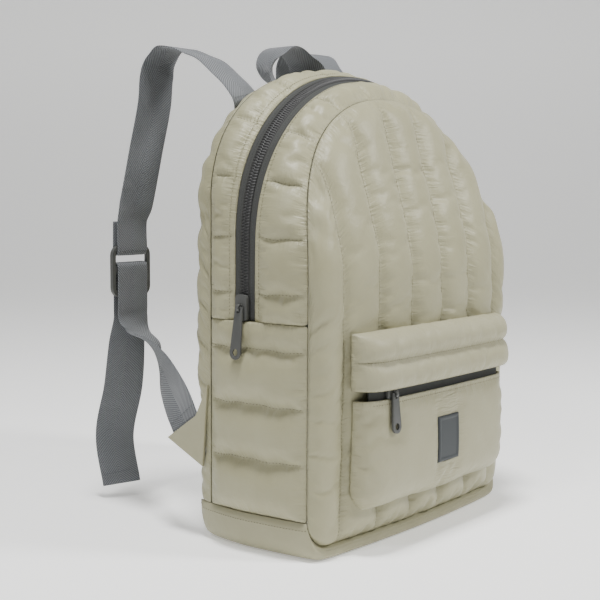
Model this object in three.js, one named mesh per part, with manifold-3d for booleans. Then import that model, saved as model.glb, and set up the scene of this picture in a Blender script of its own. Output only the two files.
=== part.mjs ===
import * as THREE from 'three';
import { mergeVertices } from 'three/addons/utils/BufferGeometryUtils.js';
import Module from 'manifold-3d';

const wasm = await Module();
wasm.setup();

// Quilted puffer backpack, standing on its base. Millimetres, +Z up.
// The front faces -Y, and the origin is the centre of the base on the floor.

// Shell outlines, seen from the front: half width, where the arch springs, top of the arch, squareness
const frontSeamHalfWidth = 150;
const frontSeamSpring = 235;
const frontSeamApex = 394;
const frontSeamSquareness = 2.3;
const zipHalfWidth = 157;
const zipSpring = 270;
const zipApex = 418;
const zipSquareness = 2;
const rearSeamHalfWidth = 156;
const rearSeamSpring = 305;
const rearSeamApex = 420;
const rearSeamSquareness = 2.45;

// Places of the seams from front to back
const frontSeamDepth = 50;
const frontSeamTopSetback = 30;
const frontSeamFootForward = 8;
const zipSetback = 14;
const rearSeamSetback = 54;

// Base and side seams
const baseSeamHeight = 34;
const bottomSeamHeight = 11;
const baseForward = 9;
const baseRearSetback = 71;
const zipEndHeight = 200;

// Padded walls and quilting
const wall = 3;
const seamGap = 0.3;
const gussetChannels = 19;
const gussetCrown = 7;
const gussetValleyShare = 0.35;
const quiltPitch = 48;
const frontLines = 6;
const frontBulge = 17;
const frontPuff = 5.5;
const frontPadding = 9;
const edgeRound = 26;
const edgeThickness = 1.4;
const backBulge = 25;
const backEdgeRound = 10;
const backPadding = 8;

// Main zip
const zipTapeWidth = 22;
const zipTapeThickness = 1.5;
const zipTapeSink = 0.6;
const coilWidth = 9;
const coilThickness = 2;
const sliderWidth = 13;
const sliderLength = 22;
const sliderThickness = 3.4;
const bailInner = 1.8;
const bailWire = 1.4;
const bailWidth = 3;

// Pull tabs
const pullLength = 44;
const pullTopWidth = 8;
const pullEndWidth = 12;
const pullThickness = 2;
const pullHole = 6;
const pullBarRadius = 1;
const pullPlay = 0.4;
const mainPullLean = 7;
const pocketPullLean = 4;

// Front pocket
const pocketHalfWidth = 114;
const pocketFoot = 39;
const pocketTop = 192;
const pocketDepth = 20;
const pocketWall = 3;
const pocketMouth = 135;
const hoodLip = 144;
const hoodDepth = 23;
const hoodThickness = 5;
const pocketTapeThickness = 1.5;
const pocketSliderLength = 15;
const pocketSliderWidth = 8;
const pocketSliderThickness = 3;
const pocketPullLength = 34;
const pocketPullPlace = -82;
const labelWidth = 34;
const labelHeight = 42;
const labelThickness = 1.6;
const labelCentreHeight = 89;

// Webbing
const webbingWidth = 38;
const webbingThickness = 1.8;
const strapSpread = 120;
const strapReach = 140;
const strapRise = 450;
const floorLift = 5;
const handleHalfSpan = 28;
const handleReach = 95;
const handleRise = 32;
const handleWidth = 36;

// Strap adjusters and tabs
const adjusterHeight = 50;
const adjusterWidth = 48;
const adjusterBar = 6;
const adjusterThickness = 4;
const adjusterDrop = 2;
const flapLength = 26;
const tabThickness = 3;
const tabReach = 51;
const tabTop = 141;
const tabFoot = 66;
const tabClear = 2;
const tabProud = 0.6;
const tabCorners = [
  { back: 0.12, up: 0 },
  { back: 1, up: 0.27 },
  { back: 0.29, up: 0.6 },
  { back: 0, up: 1 },
];

// Colours
const shellColour = 0xb3b09d;
const webbingColour = 0x5c6063;
const zipColour = 0x4c4d4f;
const plasticColour = 0x545658;
const labelColour = 0x4b5054;

const bag = new THREE.Group();

const clamp01 = (value) => Math.min(1, Math.max(0, value));
const mix = (a, b, share) => a + (b - a) * share;
const ease = (value) => {
  const share = clamp01(value);
  return share * share * (3 - 2 * share);
};

function addMesh(name, geometry, color, roughness = 0.8, metalness = 0) {
  const mesh = new THREE.Mesh(geometry, new THREE.MeshStandardMaterial({ color, roughness, metalness }));
  mesh.name = name;
  bag.add(mesh);
  return mesh;
}

// Six times the volume inside a triangle list; its sign tells which way the faces point
function signedVolume(points, faces) {
  return faces.reduce((sum, [a, b, c]) => sum + points[a].dot(points[b].clone().cross(points[c])), 0);
}

function solidFrom(points, faces) {
  const outward = signedVolume(points, faces) > 0;
  const geometry = new THREE.BufferGeometry();
  geometry.setAttribute('position', new THREE.Float32BufferAttribute(points.flatMap((p) => [p.x, p.y, p.z]), 3));
  geometry.setIndex(faces.flatMap(([a, b, c]) => (outward ? [a, b, c] : [a, c, b])));
  geometry.computeVertexNormals();
  return geometry;
}

// A closed sheet: an outer and an inner skin over the same grid, joined by a rim
function sheet(rows, columns, outer, inner) {
  const points = [];
  for (const skin of [outer, inner]) {
    for (const row of rows) {
      for (const column of columns) points.push(skin(row, column));
    }
  }
  const wide = columns.length;
  const skinSize = rows.length * wide;
  const at = (layer, i, j) => layer * skinSize + i * wide + j;
  const faces = [];
  const quad = (a, b, c, d) => faces.push([a, b, c], [a, c, d]);
  for (let i = 0; i + 1 < rows.length; i += 1) {
    for (let j = 0; j + 1 < wide; j += 1) {
      quad(at(0, i, j), at(0, i, j + 1), at(0, i + 1, j + 1), at(0, i + 1, j));
      quad(at(1, i, j), at(1, i + 1, j), at(1, i + 1, j + 1), at(1, i, j + 1));
    }
    quad(at(0, i, 0), at(0, i + 1, 0), at(1, i + 1, 0), at(1, i, 0));
    quad(at(0, i, wide - 1), at(1, i, wide - 1), at(1, i + 1, wide - 1), at(0, i + 1, wide - 1));
  }
  const last = rows.length - 1;
  for (let j = 0; j + 1 < wide; j += 1) {
    quad(at(0, 0, j), at(1, 0, j), at(1, 0, j + 1), at(0, 0, j + 1));
    quad(at(0, last, j), at(0, last, j + 1), at(1, last, j + 1), at(1, last, j));
  }
  return solidFrom(points, faces);
}

function spread(from, to, steps) {
  return Array.from({ length: steps + 1 }, (_, i) => mix(from, to, i / steps));
}

// The values in the list and the given number of equal steps between each pair
function subdivide(values, steps) {
  return values.flatMap((value, i) => (
    i + 1 < values.length ? spread(value, values[i + 1], steps).slice(0, -1) : [value]
  ));
}

const outlines = {
  front: { halfWidth: frontSeamHalfWidth, spring: frontSeamSpring, apex: frontSeamApex, squareness: frontSeamSquareness },
  zip: { halfWidth: zipHalfWidth, spring: zipSpring, apex: zipApex, squareness: zipSquareness },
  rear: { halfWidth: rearSeamHalfWidth, spring: rearSeamSpring, apex: rearSeamApex, squareness: rearSeamSquareness },
};

// Height of an outline's arch over a place across the width
function archHeight(outline, x) {
  const share = clamp01(Math.abs(x) / outline.halfWidth);
  return outline.spring + (outline.apex - outline.spring) * Math.sqrt(1 - share ** outline.squareness);
}

// Where a ray that leans by an angle from the spring line meets the outline
function rayOnOutline(outline, angle) {
  const { halfWidth, spring, apex, squareness } = outline;
  let near = 0;
  let far = 2 * apex;
  for (let i = 0; i < 40; i += 1) {
    const reach = (near + far) / 2;
    const x = reach * Math.cos(angle);
    const rise = Math.max(0, frontSeamSpring + reach * Math.sin(angle) - spring) / (apex - spring);
    if ((x / halfWidth) ** squareness + rise ** 2 > 1) far = reach;
    else near = reach;
  }
  return near;
}

// How far the front seam stands in front of the origin
function frontSeamPlace(x, z) {
  const topShare = ease((z - frontSeamSpring) / (frontSeamApex - frontSeamSpring));
  const footShare = (1 - ease(z / baseSeamHeight / 2)) * (1 - (x / frontSeamHalfWidth) ** 2);
  return -frontSeamDepth + frontSeamTopSetback * topShare - frontSeamFootForward * footShare;
}

const sideLength = frontSeamSpring - baseSeamHeight;
const archFullness = 1.03;
const archLength = (Math.PI / 4) * (frontSeamHalfWidth + frontSeamApex - frontSeamSpring) * archFullness;
const sideShare = sideLength / (sideLength + archLength);
const heightToShare = (z) => ((z - baseSeamHeight) / sideLength) * sideShare;

// A point on an outline: along runs from 0 at the left base seam over the top to 1 at the right one
function rimPoint(outline, along, place) {
  const side = along < 0.5 ? -1 : 1;
  const climb = 1 - Math.abs(2 * along - 1);
  let x = outline.halfWidth;
  let z = mix(baseSeamHeight, frontSeamSpring, climb / sideShare);
  if (climb > sideShare) {
    const angle = (Math.PI / 2) * ((climb - sideShare) / (1 - sideShare));
    const reach = rayOnOutline(outline, angle);
    x = reach * Math.cos(angle);
    z = frontSeamSpring + reach * Math.sin(angle);
  }
  return new THREE.Vector3(side * x, place(side * x, z), z);
}

const frontRim = (along) => rimPoint(outlines.front, along, frontSeamPlace);
const zipRim = (along) => rimPoint(outlines.zip, along, () => zipSetback);
const rearRim = (along) => rimPoint(outlines.rear, along, () => rearSeamSetback);

// Shell surface by millimetres from the zip line: negative towards the front, positive towards the back
function shellPoint(along, offset) {
  const middle = zipRim(along);
  const edge = offset < 0 ? frontRim(along) : rearRim(along);
  return middle.clone().lerp(edge, clamp01(Math.abs(offset) / middle.distanceTo(edge)));
}

function shellNormal(along, offset) {
  const step = 0.004;
  const run = shellPoint(Math.min(1, along + step), offset).sub(shellPoint(Math.max(0, along - step), offset));
  return new THREE.Vector3(-run.z, 0, run.x).normalize();
}

// Rise of a quilted channel between its stitch lines: 0 on a line, 1 half way
const channelRise = (share) => 1 - (2 * (share - Math.floor(share)) - 1) ** 4;

// Padding over the shell: full between seams, dipping at each quilt line around the gusset
function gussetRise(along, across) {
  const seams = 1 - (2 * across - 1) ** 4;
  const climb = 1 - Math.abs(2 * along - 1);
  const channel = channelRise((climb * gussetChannels) / 2);
  return gussetCrown * seams * mix(gussetValleyShare, 1, channel);
}

// A quilted strip of the shell; edges gives its two offsets from the zip line at each place along
function gussetStrip(name, stations, acrossSteps, edges) {
  const skin = (lift) => (along, across) => {
    const [from, to] = edges(along);
    const offset = mix(from, to, across);
    const normal = shellNormal(along, offset);
    return shellPoint(along, offset).addScaledVector(normal, lift(along, across));
  };
  const inner = skin(() => -wall);
  return addMesh(name, sheet(stations, acrossSteps, skin(gussetRise), inner), shellColour);
}

const frontEdge = (along) => seamGap - zipRim(along).distanceTo(frontRim(along));
const rearEdge = (along) => zipRim(along).distanceTo(rearRim(along)) - seamGap;
const tapeEdge = zipTapeWidth / 2;

// Quilt lines around the shell, as places along, with the ends of a strip
const quiltLines = Array.from({ length: gussetChannels - 1 }, (_, i) => (i + 1) / gussetChannels);
function stationsBetween(from, to, steps) {
  const clear = 0.2 / gussetChannels;
  const lines = quiltLines.filter((line) => line > from + clear && line < to - clear);
  return subdivide([from, ...lines, to], steps);
}

const zipEnd = heightToShare(zipEndHeight) / 2;
const endGap = heightToShare(baseSeamHeight + seamGap) / 2;
const archStations = stationsBetween(zipEnd + endGap, 1 - zipEnd - endGap, 4);
gussetStrip('gusset_front_arch', archStations, spread(0, 1, 4), (along) => [frontEdge(along), -tapeEdge]);
gussetStrip('gusset_rear_arch', archStations, spread(0, 1, 3), (along) => [tapeEdge, rearEdge(along)]);

for (const [name, mirror] of [['side_panel_left', false], ['side_panel_right', true]]) {
  const climbs = stationsBetween(endGap, zipEnd - endGap, 4);
  const stations = mirror ? climbs.map((along) => 1 - along) : climbs;
  gussetStrip(name, stations, spread(0, 1, 8), (along) => [frontEdge(along), rearEdge(along)]);
}

// Front panel
const cornerRadius = baseSeamHeight - bottomSeamHeight;
function frontFoot(x) {
  const run = Math.max(0, Math.abs(x) - (frontSeamHalfWidth - cornerRadius));
  return baseSeamHeight - Math.sqrt(Math.max(0, cornerRadius ** 2 - run ** 2));
}

const frontBelly = (up) => mix(0.62, 1, Math.sin(Math.PI * Math.min(1, up * 0.92) ** 0.9));
const frontFlank = (x) => 1 - 0.28 * (x / frontSeamHalfWidth) ** 2;

// Front panel skin: it rolls back to the seam, bulges lowest down, and dips at each upright quilt line
function frontPanelPlace(x, z) {
  const top = archHeight(outlines.front, x);
  const foot = frontFoot(x);
  const sideRun = frontSeamHalfWidth - Math.abs(x);
  const inward = Math.min(sideRun, (top - z) * 0.8, (z - foot) * 1.6);
  const roll = Math.sqrt(1 - (1 - clamp01(inward / edgeRound)) ** 2);
  const up = clamp01((z - foot) / (top - foot));
  const channel = channelRise(Math.abs(x) / quiltPitch + 0.5);
  const bulge = frontBulge * frontBelly(up) * frontFlank(x) + frontPuff * (channel - 1);
  return frontSeamPlace(x, z) - Math.max(edgeThickness, roll * (bulge + frontPuff));
}

const lineSpan = ((frontLines - 1) / 2) * quiltPitch;
const lineColumns = subdivide(Array.from({ length: frontLines }, (_, i) => i * quiltPitch - lineSpan), 4);
const flankShares = [0.3, 0.55, 0.74, 0.87, 0.945, 0.985, 1];
const flankColumns = flankShares.map((share) => mix(lineSpan, frontSeamHalfWidth, share));
const frontColumns = [...flankColumns.map((x) => -x).reverse(), ...lineColumns, ...flankColumns];
const panelRows = [0, 0.02, 0.06, 0.13, 0.25, 0.38, 0.52, 0.66, 0.78, 0.87, 0.94, 0.98, 1];

function panelSkin(outline, footAt, place) {
  return (up, x) => {
    const z = mix(footAt(x), archHeight(outline, x), up);
    return new THREE.Vector3(x, place(x, z), z);
  };
}

const frontInner = (x, z) => Math.min(frontSeamPlace(x, z) - 2 * seamGap, frontPanelPlace(x, z) + frontPadding);
addMesh('front_panel', sheet(
  panelRows,
  frontColumns,
  panelSkin(outlines.front, frontFoot, frontPanelPlace),
  panelSkin(outlines.front, frontFoot, frontInner),
), shellColour);

// Back panel: boxy edges, fullest a third of the way up, and at its foot as far out as the base's rim
const backFoot = baseSeamHeight + seamGap;
const backSlack = 0.45;
const footFill = 0.23;
const footFillReach = 0.25;
function backPanelPlace(x, z) {
  const top = archHeight(outlines.rear, x);
  const inward = Math.min(rearSeamHalfWidth - Math.abs(x), (top - z) * 0.8);
  const roll = Math.sqrt(1 - (1 - clamp01(inward / backEdgeRound)) ** 2);
  const up = clamp01((z - backFoot) / (rearSeamApex - backFoot));
  const filled = footFill * (1 - clamp01(up / footFillReach)) ** 2;
  const belly = mix(backSlack, 1, Math.sin(Math.PI * up ** 0.75)) + filled;
  return rearSeamSetback + Math.max(edgeThickness, roll * backBulge * belly);
}

const backInner = (x, z) => Math.max(rearSeamSetback + seamGap, backPanelPlace(x, z) - backPadding);
const backShares = [0, 0.25, 0.5, 0.72, 0.88, 0.94, 0.97, 0.99, 1];
const backColumns = backShares.map((share) => share * rearSeamHalfWidth);
const backRows = [0, 0.01, 0.035, 0.12, 0.25, 0.4, 0.55, 0.7, 0.84, 0.93, 0.97, 0.99, 1];
addMesh('back_panel', sheet(
  backRows,
  [...backColumns.slice(1).map((x) => -x).reverse(), ...backColumns],
  panelSkin(outlines.rear, () => backFoot, backPanelPlace),
  panelSkin(outlines.rear, () => backFoot, backInner),
), shellColour);

// Base panel: a tray whose edges round up to the seams, flat where it stands
const baseRows = [
  { across: 0, forward: 0, rise: 1, square: 2, thickness: 0.35, inset: 1 },
  { across: 0, forward: 0.8, rise: 0.72, square: 2.5, thickness: 0.4, inset: 1 },
  { across: 0, forward: 1, rise: 0.36, square: 3.2, thickness: 0.6, inset: 1 },
  { across: 0.02, forward: 0.85, rise: 0.04, square: 4, thickness: 0.9, inset: 1 },
  { across: 0.1, forward: 0.3, rise: 0, square: 4, thickness: 1, inset: 0 },
  { across: 0.35, forward: 0, rise: 0, square: 4, thickness: 1, inset: 0 },
  { across: 0.64, forward: 0, rise: 0, square: 4, thickness: 1, inset: 0 },
  { across: 0.88, forward: 0, rise: 0, square: 4, thickness: 1, inset: 0 },
  { across: 0.965, forward: 0, rise: 0.14, square: 4, thickness: 1, inset: 0 },
  { across: 0.995, forward: 0, rise: 0.8, square: 4, thickness: 1, inset: -1 },
  { across: 1, forward: 0, rise: 1.7, square: 3, thickness: 1, inset: -1 },
  { across: 1, forward: 0, rise: 2.8, square: 2, thickness: 1, inset: -1 },
];
const cornerTurns = [0, 0.25, 0.5, 0.75, 1];
const baseColumns = [
  ...cornerTurns.map((turn) => ({ turn, reach: -1 })),
  ...[-0.5, 0, 0.5].map((reach) => ({ turn: 1, reach })),
  ...cornerTurns.map((turn) => ({ turn, reach: 1 })).reverse(),
];

// Half width of the shell at its base seam, by place from front to back
function baseHalfWidth(place) {
  const across = clamp01((place + frontSeamDepth) / (rearSeamSetback + frontSeamDepth));
  const seams = 1 - (2 * across - 1) ** 4;
  const plain = place < zipSetback
    ? mix(frontSeamHalfWidth, zipHalfWidth, clamp01((place + frontSeamDepth) / (zipSetback + frontSeamDepth)))
    : mix(zipHalfWidth, rearSeamHalfWidth, clamp01((place - zipSetback) / (rearSeamSetback - zipSetback)));
  const rearRound = 4 * clamp01((place - rearSeamSetback) / (baseRearSetback - rearSeamSetback)) ** 2;
  return plain + gussetCrown * gussetValleyShare * seams - rearRound;
}

function baseSkin(layers) {
  return (row, column) => {
    const depth = layers * wall * row.thickness;
    const rim = baseSeamHeight - seamGap;
    const climb = Math.max(0, rim - bottomSeamHeight * row.rise - depth);
    const angle = (Math.PI / 2) * column.turn;
    const turnIn = 1 - Math.cos(angle) ** (2 / row.square);
    const turnDown = Math.sin(angle) ** (2 / row.square);
    const middle = mix(-frontSeamDepth, baseRearSetback, row.across);
    const x = column.reach * (baseHalfWidth(middle) - depth - (cornerRadius - seamGap) * turnIn);
    const z = rim - climb * turnDown;
    const front = frontSeamPlace(x, z) - baseForward * row.forward * turnDown;
    return new THREE.Vector3(x, mix(front, baseRearSetback, row.across) + depth * row.inset, z);
  };
}
addMesh('base_panel', sheet(baseRows, baseColumns, baseSkin(0), baseSkin(1)), shellColour);

// Main zip: a tape in the slot of the gusset with the closed coil along its middle
const zipStations = stationsBetween(zipEnd + endGap, 1 - zipEnd - endGap, 3);
const zipSlotHalf = tapeEdge - seamGap;

// The slot's flat floor: a point on the chord between its two edges, lifted outwards
function slotPoint(along, offset, height) {
  const edges = [-zipSlotHalf, zipSlotHalf].map((edge) => shellPoint(along, edge));
  const normal = shellNormal(along, 0);
  return edges[0].lerp(edges[1], mix(0.5, 1, offset / zipSlotHalf)).addScaledVector(normal, height);
}

function zipStrip(name, halfWidth, lift, thickness, colour) {
  const skin = (height) => (along, side) => slotPoint(along, side * halfWidth, height);
  return addMesh(name, sheet(zipStations, [-1, 1], skin(lift + thickness), skin(lift)), colour);
}
const tapeLift = -zipTapeSink - zipTapeThickness;
const coilLift = seamGap - zipTapeSink;
zipStrip('main_zip_tape', zipSlotHalf, tapeLift, zipTapeThickness, zipColour);
zipStrip('main_zip_coil', coilWidth / 2, coilLift, coilThickness, zipColour);

// Hard zip parts are drawn facing +Z with +Y up, then turned to face the left side or the front
const facings = {
  left: new THREE.Matrix4().makeBasis(
    new THREE.Vector3(0, -1, 0),
    new THREE.Vector3(0, 0, 1),
    new THREE.Vector3(-1, 0, 0),
  ),
  front: new THREE.Matrix4().makeBasis(
    new THREE.Vector3(1, 0, 0),
    new THREE.Vector3(0, 0, 1),
    new THREE.Vector3(0, -1, 0),
  ),
};
function place(mesh, facing, x, y, z) {
  mesh.setRotationFromMatrix(facings[facing]);
  mesh.position.set(x, y, z);
  return mesh;
}

function toSolid(geometry) {
  const bare = geometry.clone();
  bare.deleteAttribute('normal');
  bare.deleteAttribute('uv');
  const merged = mergeVertices(bare);
  return new wasm.Manifold(new wasm.Mesh({
    numProp: 3,
    vertProperties: new Float32Array(merged.attributes.position.array),
    triVerts: new Uint32Array(merged.index.array),
  }));
}

function fromSolid(solid) {
  const { vertProperties, triVerts } = solid.getMesh();
  const geometry = new THREE.BufferGeometry();
  geometry.setAttribute('position', new THREE.BufferAttribute(new Float32Array(vertProperties), 3));
  geometry.setIndex(new THREE.BufferAttribute(new Uint32Array(triVerts), 1));
  geometry.computeVertexNormals();
  return geometry;
}

function roundedRectangle(width, height, radius) {
  const shape = new THREE.Shape();
  const x = width / 2 - radius;
  const y = height / 2 - radius;
  shape.absarc(x, y, radius, 0, Math.PI / 2);
  shape.absarc(-x, y, radius, Math.PI / 2, Math.PI);
  shape.absarc(-x, -y, radius, Math.PI, 1.5 * Math.PI);
  shape.absarc(x, -y, radius, 1.5 * Math.PI, 2 * Math.PI);
  return shape;
}

// Slider: a rounded plate with a bail, an arch that the pull's bar runs under
const bailOuter = bailInner + bailWire;
function sliderGeometry(width, length, thickness) {
  const plate = new THREE.ExtrudeGeometry(roundedRectangle(width, length, Math.min(width, length) / 4), {
    depth: thickness,
    bevelEnabled: false,
    curveSegments: 3,
  });
  const foot = -bailInner - thickness / 2;
  const arch = new THREE.Shape();
  arch.moveTo(bailOuter, foot);
  arch.absarc(0, 0, bailOuter, 0, Math.PI);
  arch.lineTo(-bailOuter, foot);
  arch.lineTo(-bailInner, foot);
  arch.absarc(0, 0, bailInner, Math.PI, 0, true);
  arch.lineTo(bailInner, foot);
  const bail = new THREE.ExtrudeGeometry(arch, { depth: bailWidth, bevelEnabled: false, curveSegments: 8 });
  bail.translate(0, 0, -bailWidth / 2);
  bail.applyMatrix4(new THREE.Matrix4().makeBasis(
    new THREE.Vector3(0, 1, 0),
    new THREE.Vector3(0, 0, 1),
    new THREE.Vector3(1, 0, 0),
  ));
  bail.translate(0, 0, thickness + bailInner);
  return fromSolid(toSolid(plate).add(toSolid(bail)));
}

// Pull tab, hanging from its bar at the origin: an eye for the bail on top, a round hole at the end
function pullGeometry(length, lean) {
  const shape = new THREE.Shape();
  const endRadius = pullEndWidth / 2;
  const endCentre = endRadius - length;
  shape.moveTo(pullTopWidth / 2, pullBarRadius);
  shape.lineTo(-pullTopWidth / 2, pullBarRadius);
  shape.absarc(0, endCentre, endRadius, Math.PI, 2 * Math.PI);
  const eye = new THREE.Path();
  const eyeHalf = bailWidth / 2 + pullPlay;
  const eyeEnd = -Math.hypot(bailOuter, bailInner) - pullPlay;
  eye.moveTo(-eyeHalf, -pullBarRadius);
  eye.lineTo(eyeHalf, -pullBarRadius);
  eye.lineTo(eyeHalf, eyeEnd);
  eye.lineTo(-eyeHalf, eyeEnd);
  const hole = new THREE.Path().absarc(0, endCentre, pullHole / 2, 0, 2 * Math.PI);
  shape.holes.push(eye, hole);
  const geometry = new THREE.ExtrudeGeometry(shape, { depth: pullThickness, bevelEnabled: false, curveSegments: 8 });
  geometry.translate(0, 0, -pullThickness / 2);
  geometry.rotateX(THREE.MathUtils.degToRad(-lean));
  return geometry;
}

const mainSliderHeight = zipEndHeight + sliderLength / 2 + 2 * seamGap;
const sliderSeat = slotPoint(heightToShare(mainSliderHeight) / 2, 0, coilLift + coilThickness + seamGap);
place(
  addMesh('main_zip_slider', sliderGeometry(sliderWidth, sliderLength, sliderThickness), plasticColour, 0.5),
  'left', sliderSeat.x, sliderSeat.y, mainSliderHeight,
);
place(
  addMesh('main_pull_tab', pullGeometry(pullLength, mainPullLean), plasticColour, 0.5),
  'left', sliderSeat.x - sliderThickness - bailInner, sliderSeat.y, mainSliderHeight,
);

// Front pocket: the plain panel surface under it, without the quilt dips
function pocketGround(x, z) {
  const top = archHeight(outlines.front, x);
  const foot = frontFoot(x);
  const inward = Math.min(frontSeamHalfWidth - Math.abs(x), (z - foot) * 1.6);
  const roll = Math.sqrt(1 - (1 - clamp01(inward / edgeRound)) ** 2);
  const up = clamp01((z - foot) / (top - foot));
  return frontSeamPlace(x, z) - roll * (frontBulge * frontBelly(up) * frontFlank(x) + frontPuff) - 2 * seamGap;
}

const sideRise = (share) => Math.sqrt(1 - Math.abs(share) ** 14);
const footRise = (up) => Math.sqrt(1 - (1 - up) ** 10);
const pocketHalfColumns = [0.25, 0.5, 0.72, 0.87, 0.945, 0.982, 1];
const pocketColumns = [...pocketHalfColumns.map((share) => -share).reverse(), 0, ...pocketHalfColumns];
const pocketRows = [0, 0.012, 0.05, 0.14, 0.3, 0.5, 0.75, 1];
const pocketSquash = 0.12;
const mouthSlack = 0.12;

// Point of the pocket's skin, as shares across and up, moved in by a wall
function pocketSkin(inset) {
  return (up, across) => {
    const corner = 1 - pocketSquash * (1 - clamp01(up * 5)) ** 2;
    const x = across * (pocketHalfWidth - inset) * corner;
    const z = mix(pocketFoot + inset, pocketMouth, up);
    const fullness = 1 - mouthSlack * up ** 2;
    const depth = (pocketDepth - inset) * sideRise(across) * footRise(up) * fullness;
    return new THREE.Vector3(x, pocketGround(x, z) - depth, z);
  };
}
addMesh('pocket_body', sheet(pocketRows, pocketColumns, pocketSkin(0), pocketSkin(pocketWall)), shellColour);

// Hood over the pocket's mouth, in two quilted channels; out is a share of its depth
const hoodRows = [
  { drop: 0, out: 0 },
  { drop: 0.015, out: 0.4 },
  { drop: 0.08, out: 0.72 },
  { drop: 0.26, out: 0.98 },
  { drop: 0.42, out: 0.95 },
  { drop: 0.5, out: 0.82 },
  { drop: 0.58, out: 0.98 },
  { drop: 0.76, out: 1.08 },
  { drop: 0.93, out: 1.05 },
  { drop: 1, out: 0.98 },
];
const hoodOverhang = 3;
function hoodSkin(inset) {
  return (row, across) => {
    const x = across * (pocketHalfWidth + hoodOverhang - inset);
    const z = mix(pocketTop - inset * (1 - row.drop), hoodLip, row.drop);
    const depth = Math.max(0, hoodDepth * row.out - inset) * sideRise(across);
    return new THREE.Vector3(x, pocketGround(x, z) - depth, z);
  };
}
addMesh('pocket_hood', sheet(hoodRows, pocketColumns, hoodSkin(0), hoodSkin(hoodThickness)), shellColour);

// Pocket zip tape, behind the mouth's edge and the hood's lip
const tapeOverlap = 5;
const pocketTapeRows = [pocketMouth - tapeOverlap, pocketMouth, hoodLip, hoodLip + tapeOverlap - 1];
const mouthShare = 0.88;
function pocketTapeDepth(share) {
  return (pocketDepth - pocketWall) * mouthShare * sideRise(share) - 2 * seamGap;
}
function pocketTapeSkin(sink) {
  return (z, across) => {
    const share = across * 0.95;
    const x = share * (pocketHalfWidth - pocketWall);
    return new THREE.Vector3(x, pocketGround(x, z) - pocketTapeDepth(share) + sink, z);
  };
}
const tapeColumns = pocketColumns.filter((share) => Math.abs(share) < 0.95 || Math.abs(share) === 1);
addMesh('pocket_zip_tape', sheet(
  pocketTapeRows,
  tapeColumns,
  pocketTapeSkin(0),
  pocketTapeSkin(pocketTapeThickness),
), zipColour);

// Pocket slider and pull, at the left end of the mouth
const pocketSliderHeight = (pocketMouth + hoodLip) / 2;
const pocketSliderFront = pocketGround(pocketPullPlace, pocketSliderHeight)
  - pocketTapeDepth(pocketPullPlace / pocketHalfWidth) - 2 * seamGap;
place(
  addMesh('pocket_zip_slider', sliderGeometry(pocketSliderLength, pocketSliderWidth, pocketSliderThickness), plasticColour, 0.5),
  'front', pocketPullPlace, pocketSliderFront, pocketSliderHeight,
);
place(
  addMesh('pocket_pull_tab', pullGeometry(pocketPullLength, pocketPullLean), plasticColour, 0.5),
  'front', pocketPullPlace, pocketSliderFront - pocketSliderThickness - bailInner, pocketSliderHeight,
);

// Label patch on the pocket
function labelSkin(lift) {
  return (z, x) => {
    const up = (z - pocketFoot) / (pocketMouth - pocketFoot);
    const point = pocketSkin(0)(up, x / pocketHalfWidth);
    return new THREE.Vector3(x, point.y - lift, z);
  };
}
addMesh('label_patch', sheet(
  spread(labelCentreHeight - labelHeight / 2, labelCentreHeight + labelHeight / 2, 4),
  spread(-labelWidth / 2, labelWidth / 2, 4),
  labelSkin(seamGap + labelThickness),
  labelSkin(seamGap),
), labelColour, 0.6);

// Webbing: a flat band along a smooth path, with the direction of its width given at each row
function webbing(name, rows, width, steps) {
  const centres = new THREE.CatmullRomCurve3(rows.map((row) => row.at), false, 'centripetal');
  const widths = new THREE.CatmullRomCurve3(rows.map((row) => row.broad), false, 'catmullrom');
  const skin = (layer) => (share, side) => {
    const centre = centres.getPoint(share);
    const run = centres.getTangent(share);
    const broad = widths.getPoint(share);
    broad.addScaledVector(run, -broad.dot(run)).normalize();
    const normal = run.clone().cross(broad);
    return centre.addScaledVector(broad, (side * width) / 2).addScaledVector(normal, (layer * webbingThickness) / 2);
  };
  return addMesh(name, sheet(spread(0, 1, steps), [-1, 1], skin(1), skin(-1)), webbingColour);
}

// Where webbing that lies against the back panel has its middle
function seatOnBack(x, z) {
  const touched = [-0.5, 0, 0.5].map((share) => backPanelPlace(x + share * webbingWidth, z));
  return Math.max(...touched) + webbingThickness / 2 + 5 * seamGap;
}

// Rows hold shares of the strap's spread, reach behind the rear seam and rise, and its width direction
function strapRows(rows, mirror) {
  return rows.map(({ across, back, up, wx, wy, wz }) => {
    const x = -across * strapSpread;
    const z = floorLift + up * strapRise;
    const y = back === 0 ? seatOnBack(x, z) : rearSeamSetback + back * strapReach;
    return { at: new THREE.Vector3(mirror * x, y, z), broad: new THREE.Vector3(mirror * wx, wy, wz) };
  });
}

const leftUpperRows = [
  { across: 0.733, back: 0, up: 0.811, wx: 1, wy: 0, wz: 0 },
  { across: 0.767, back: 0, up: 0.858, wx: 1, wy: 0, wz: 0 },
  { across: 0.792, back: 0.171, up: 0.887, wx: 1, wy: 0, wz: 0 },
  { across: 0.775, back: 0.307, up: 0.918, wx: 1, wy: 0, wz: 0 },
  { across: 0.758, back: 0.457, up: 0.949, wx: 1, wy: 0, wz: 0 },
  { across: 0.767, back: 0.555, up: 0.961, wx: 1, wy: 0, wz: 0 },
  { across: 0.807, back: 0.684, up: 0.976, wx: 1, wy: 0, wz: 0 },
  { across: 0.832, back: 0.784, up: 0.976, wx: 1, wy: 0, wz: 0 },
  { across: 0.848, back: 0.841, up: 0.956, wx: 1, wy: 0, wz: 0 },
  { across: 0.880, back: 0.865, up: 0.921, wx: 0.98, wy: -0.17, wz: 0 },
  { across: 0.890, back: 0.880, up: 0.863, wx: 0.98, wy: -0.17, wz: 0 },
  { across: 0.942, back: 0.921, up: 0.763, wx: 0.98, wy: -0.17, wz: 0 },
  { across: 1.003, back: 0.964, up: 0.652, wx: 0.98, wy: -0.17, wz: 0 },
];
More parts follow.
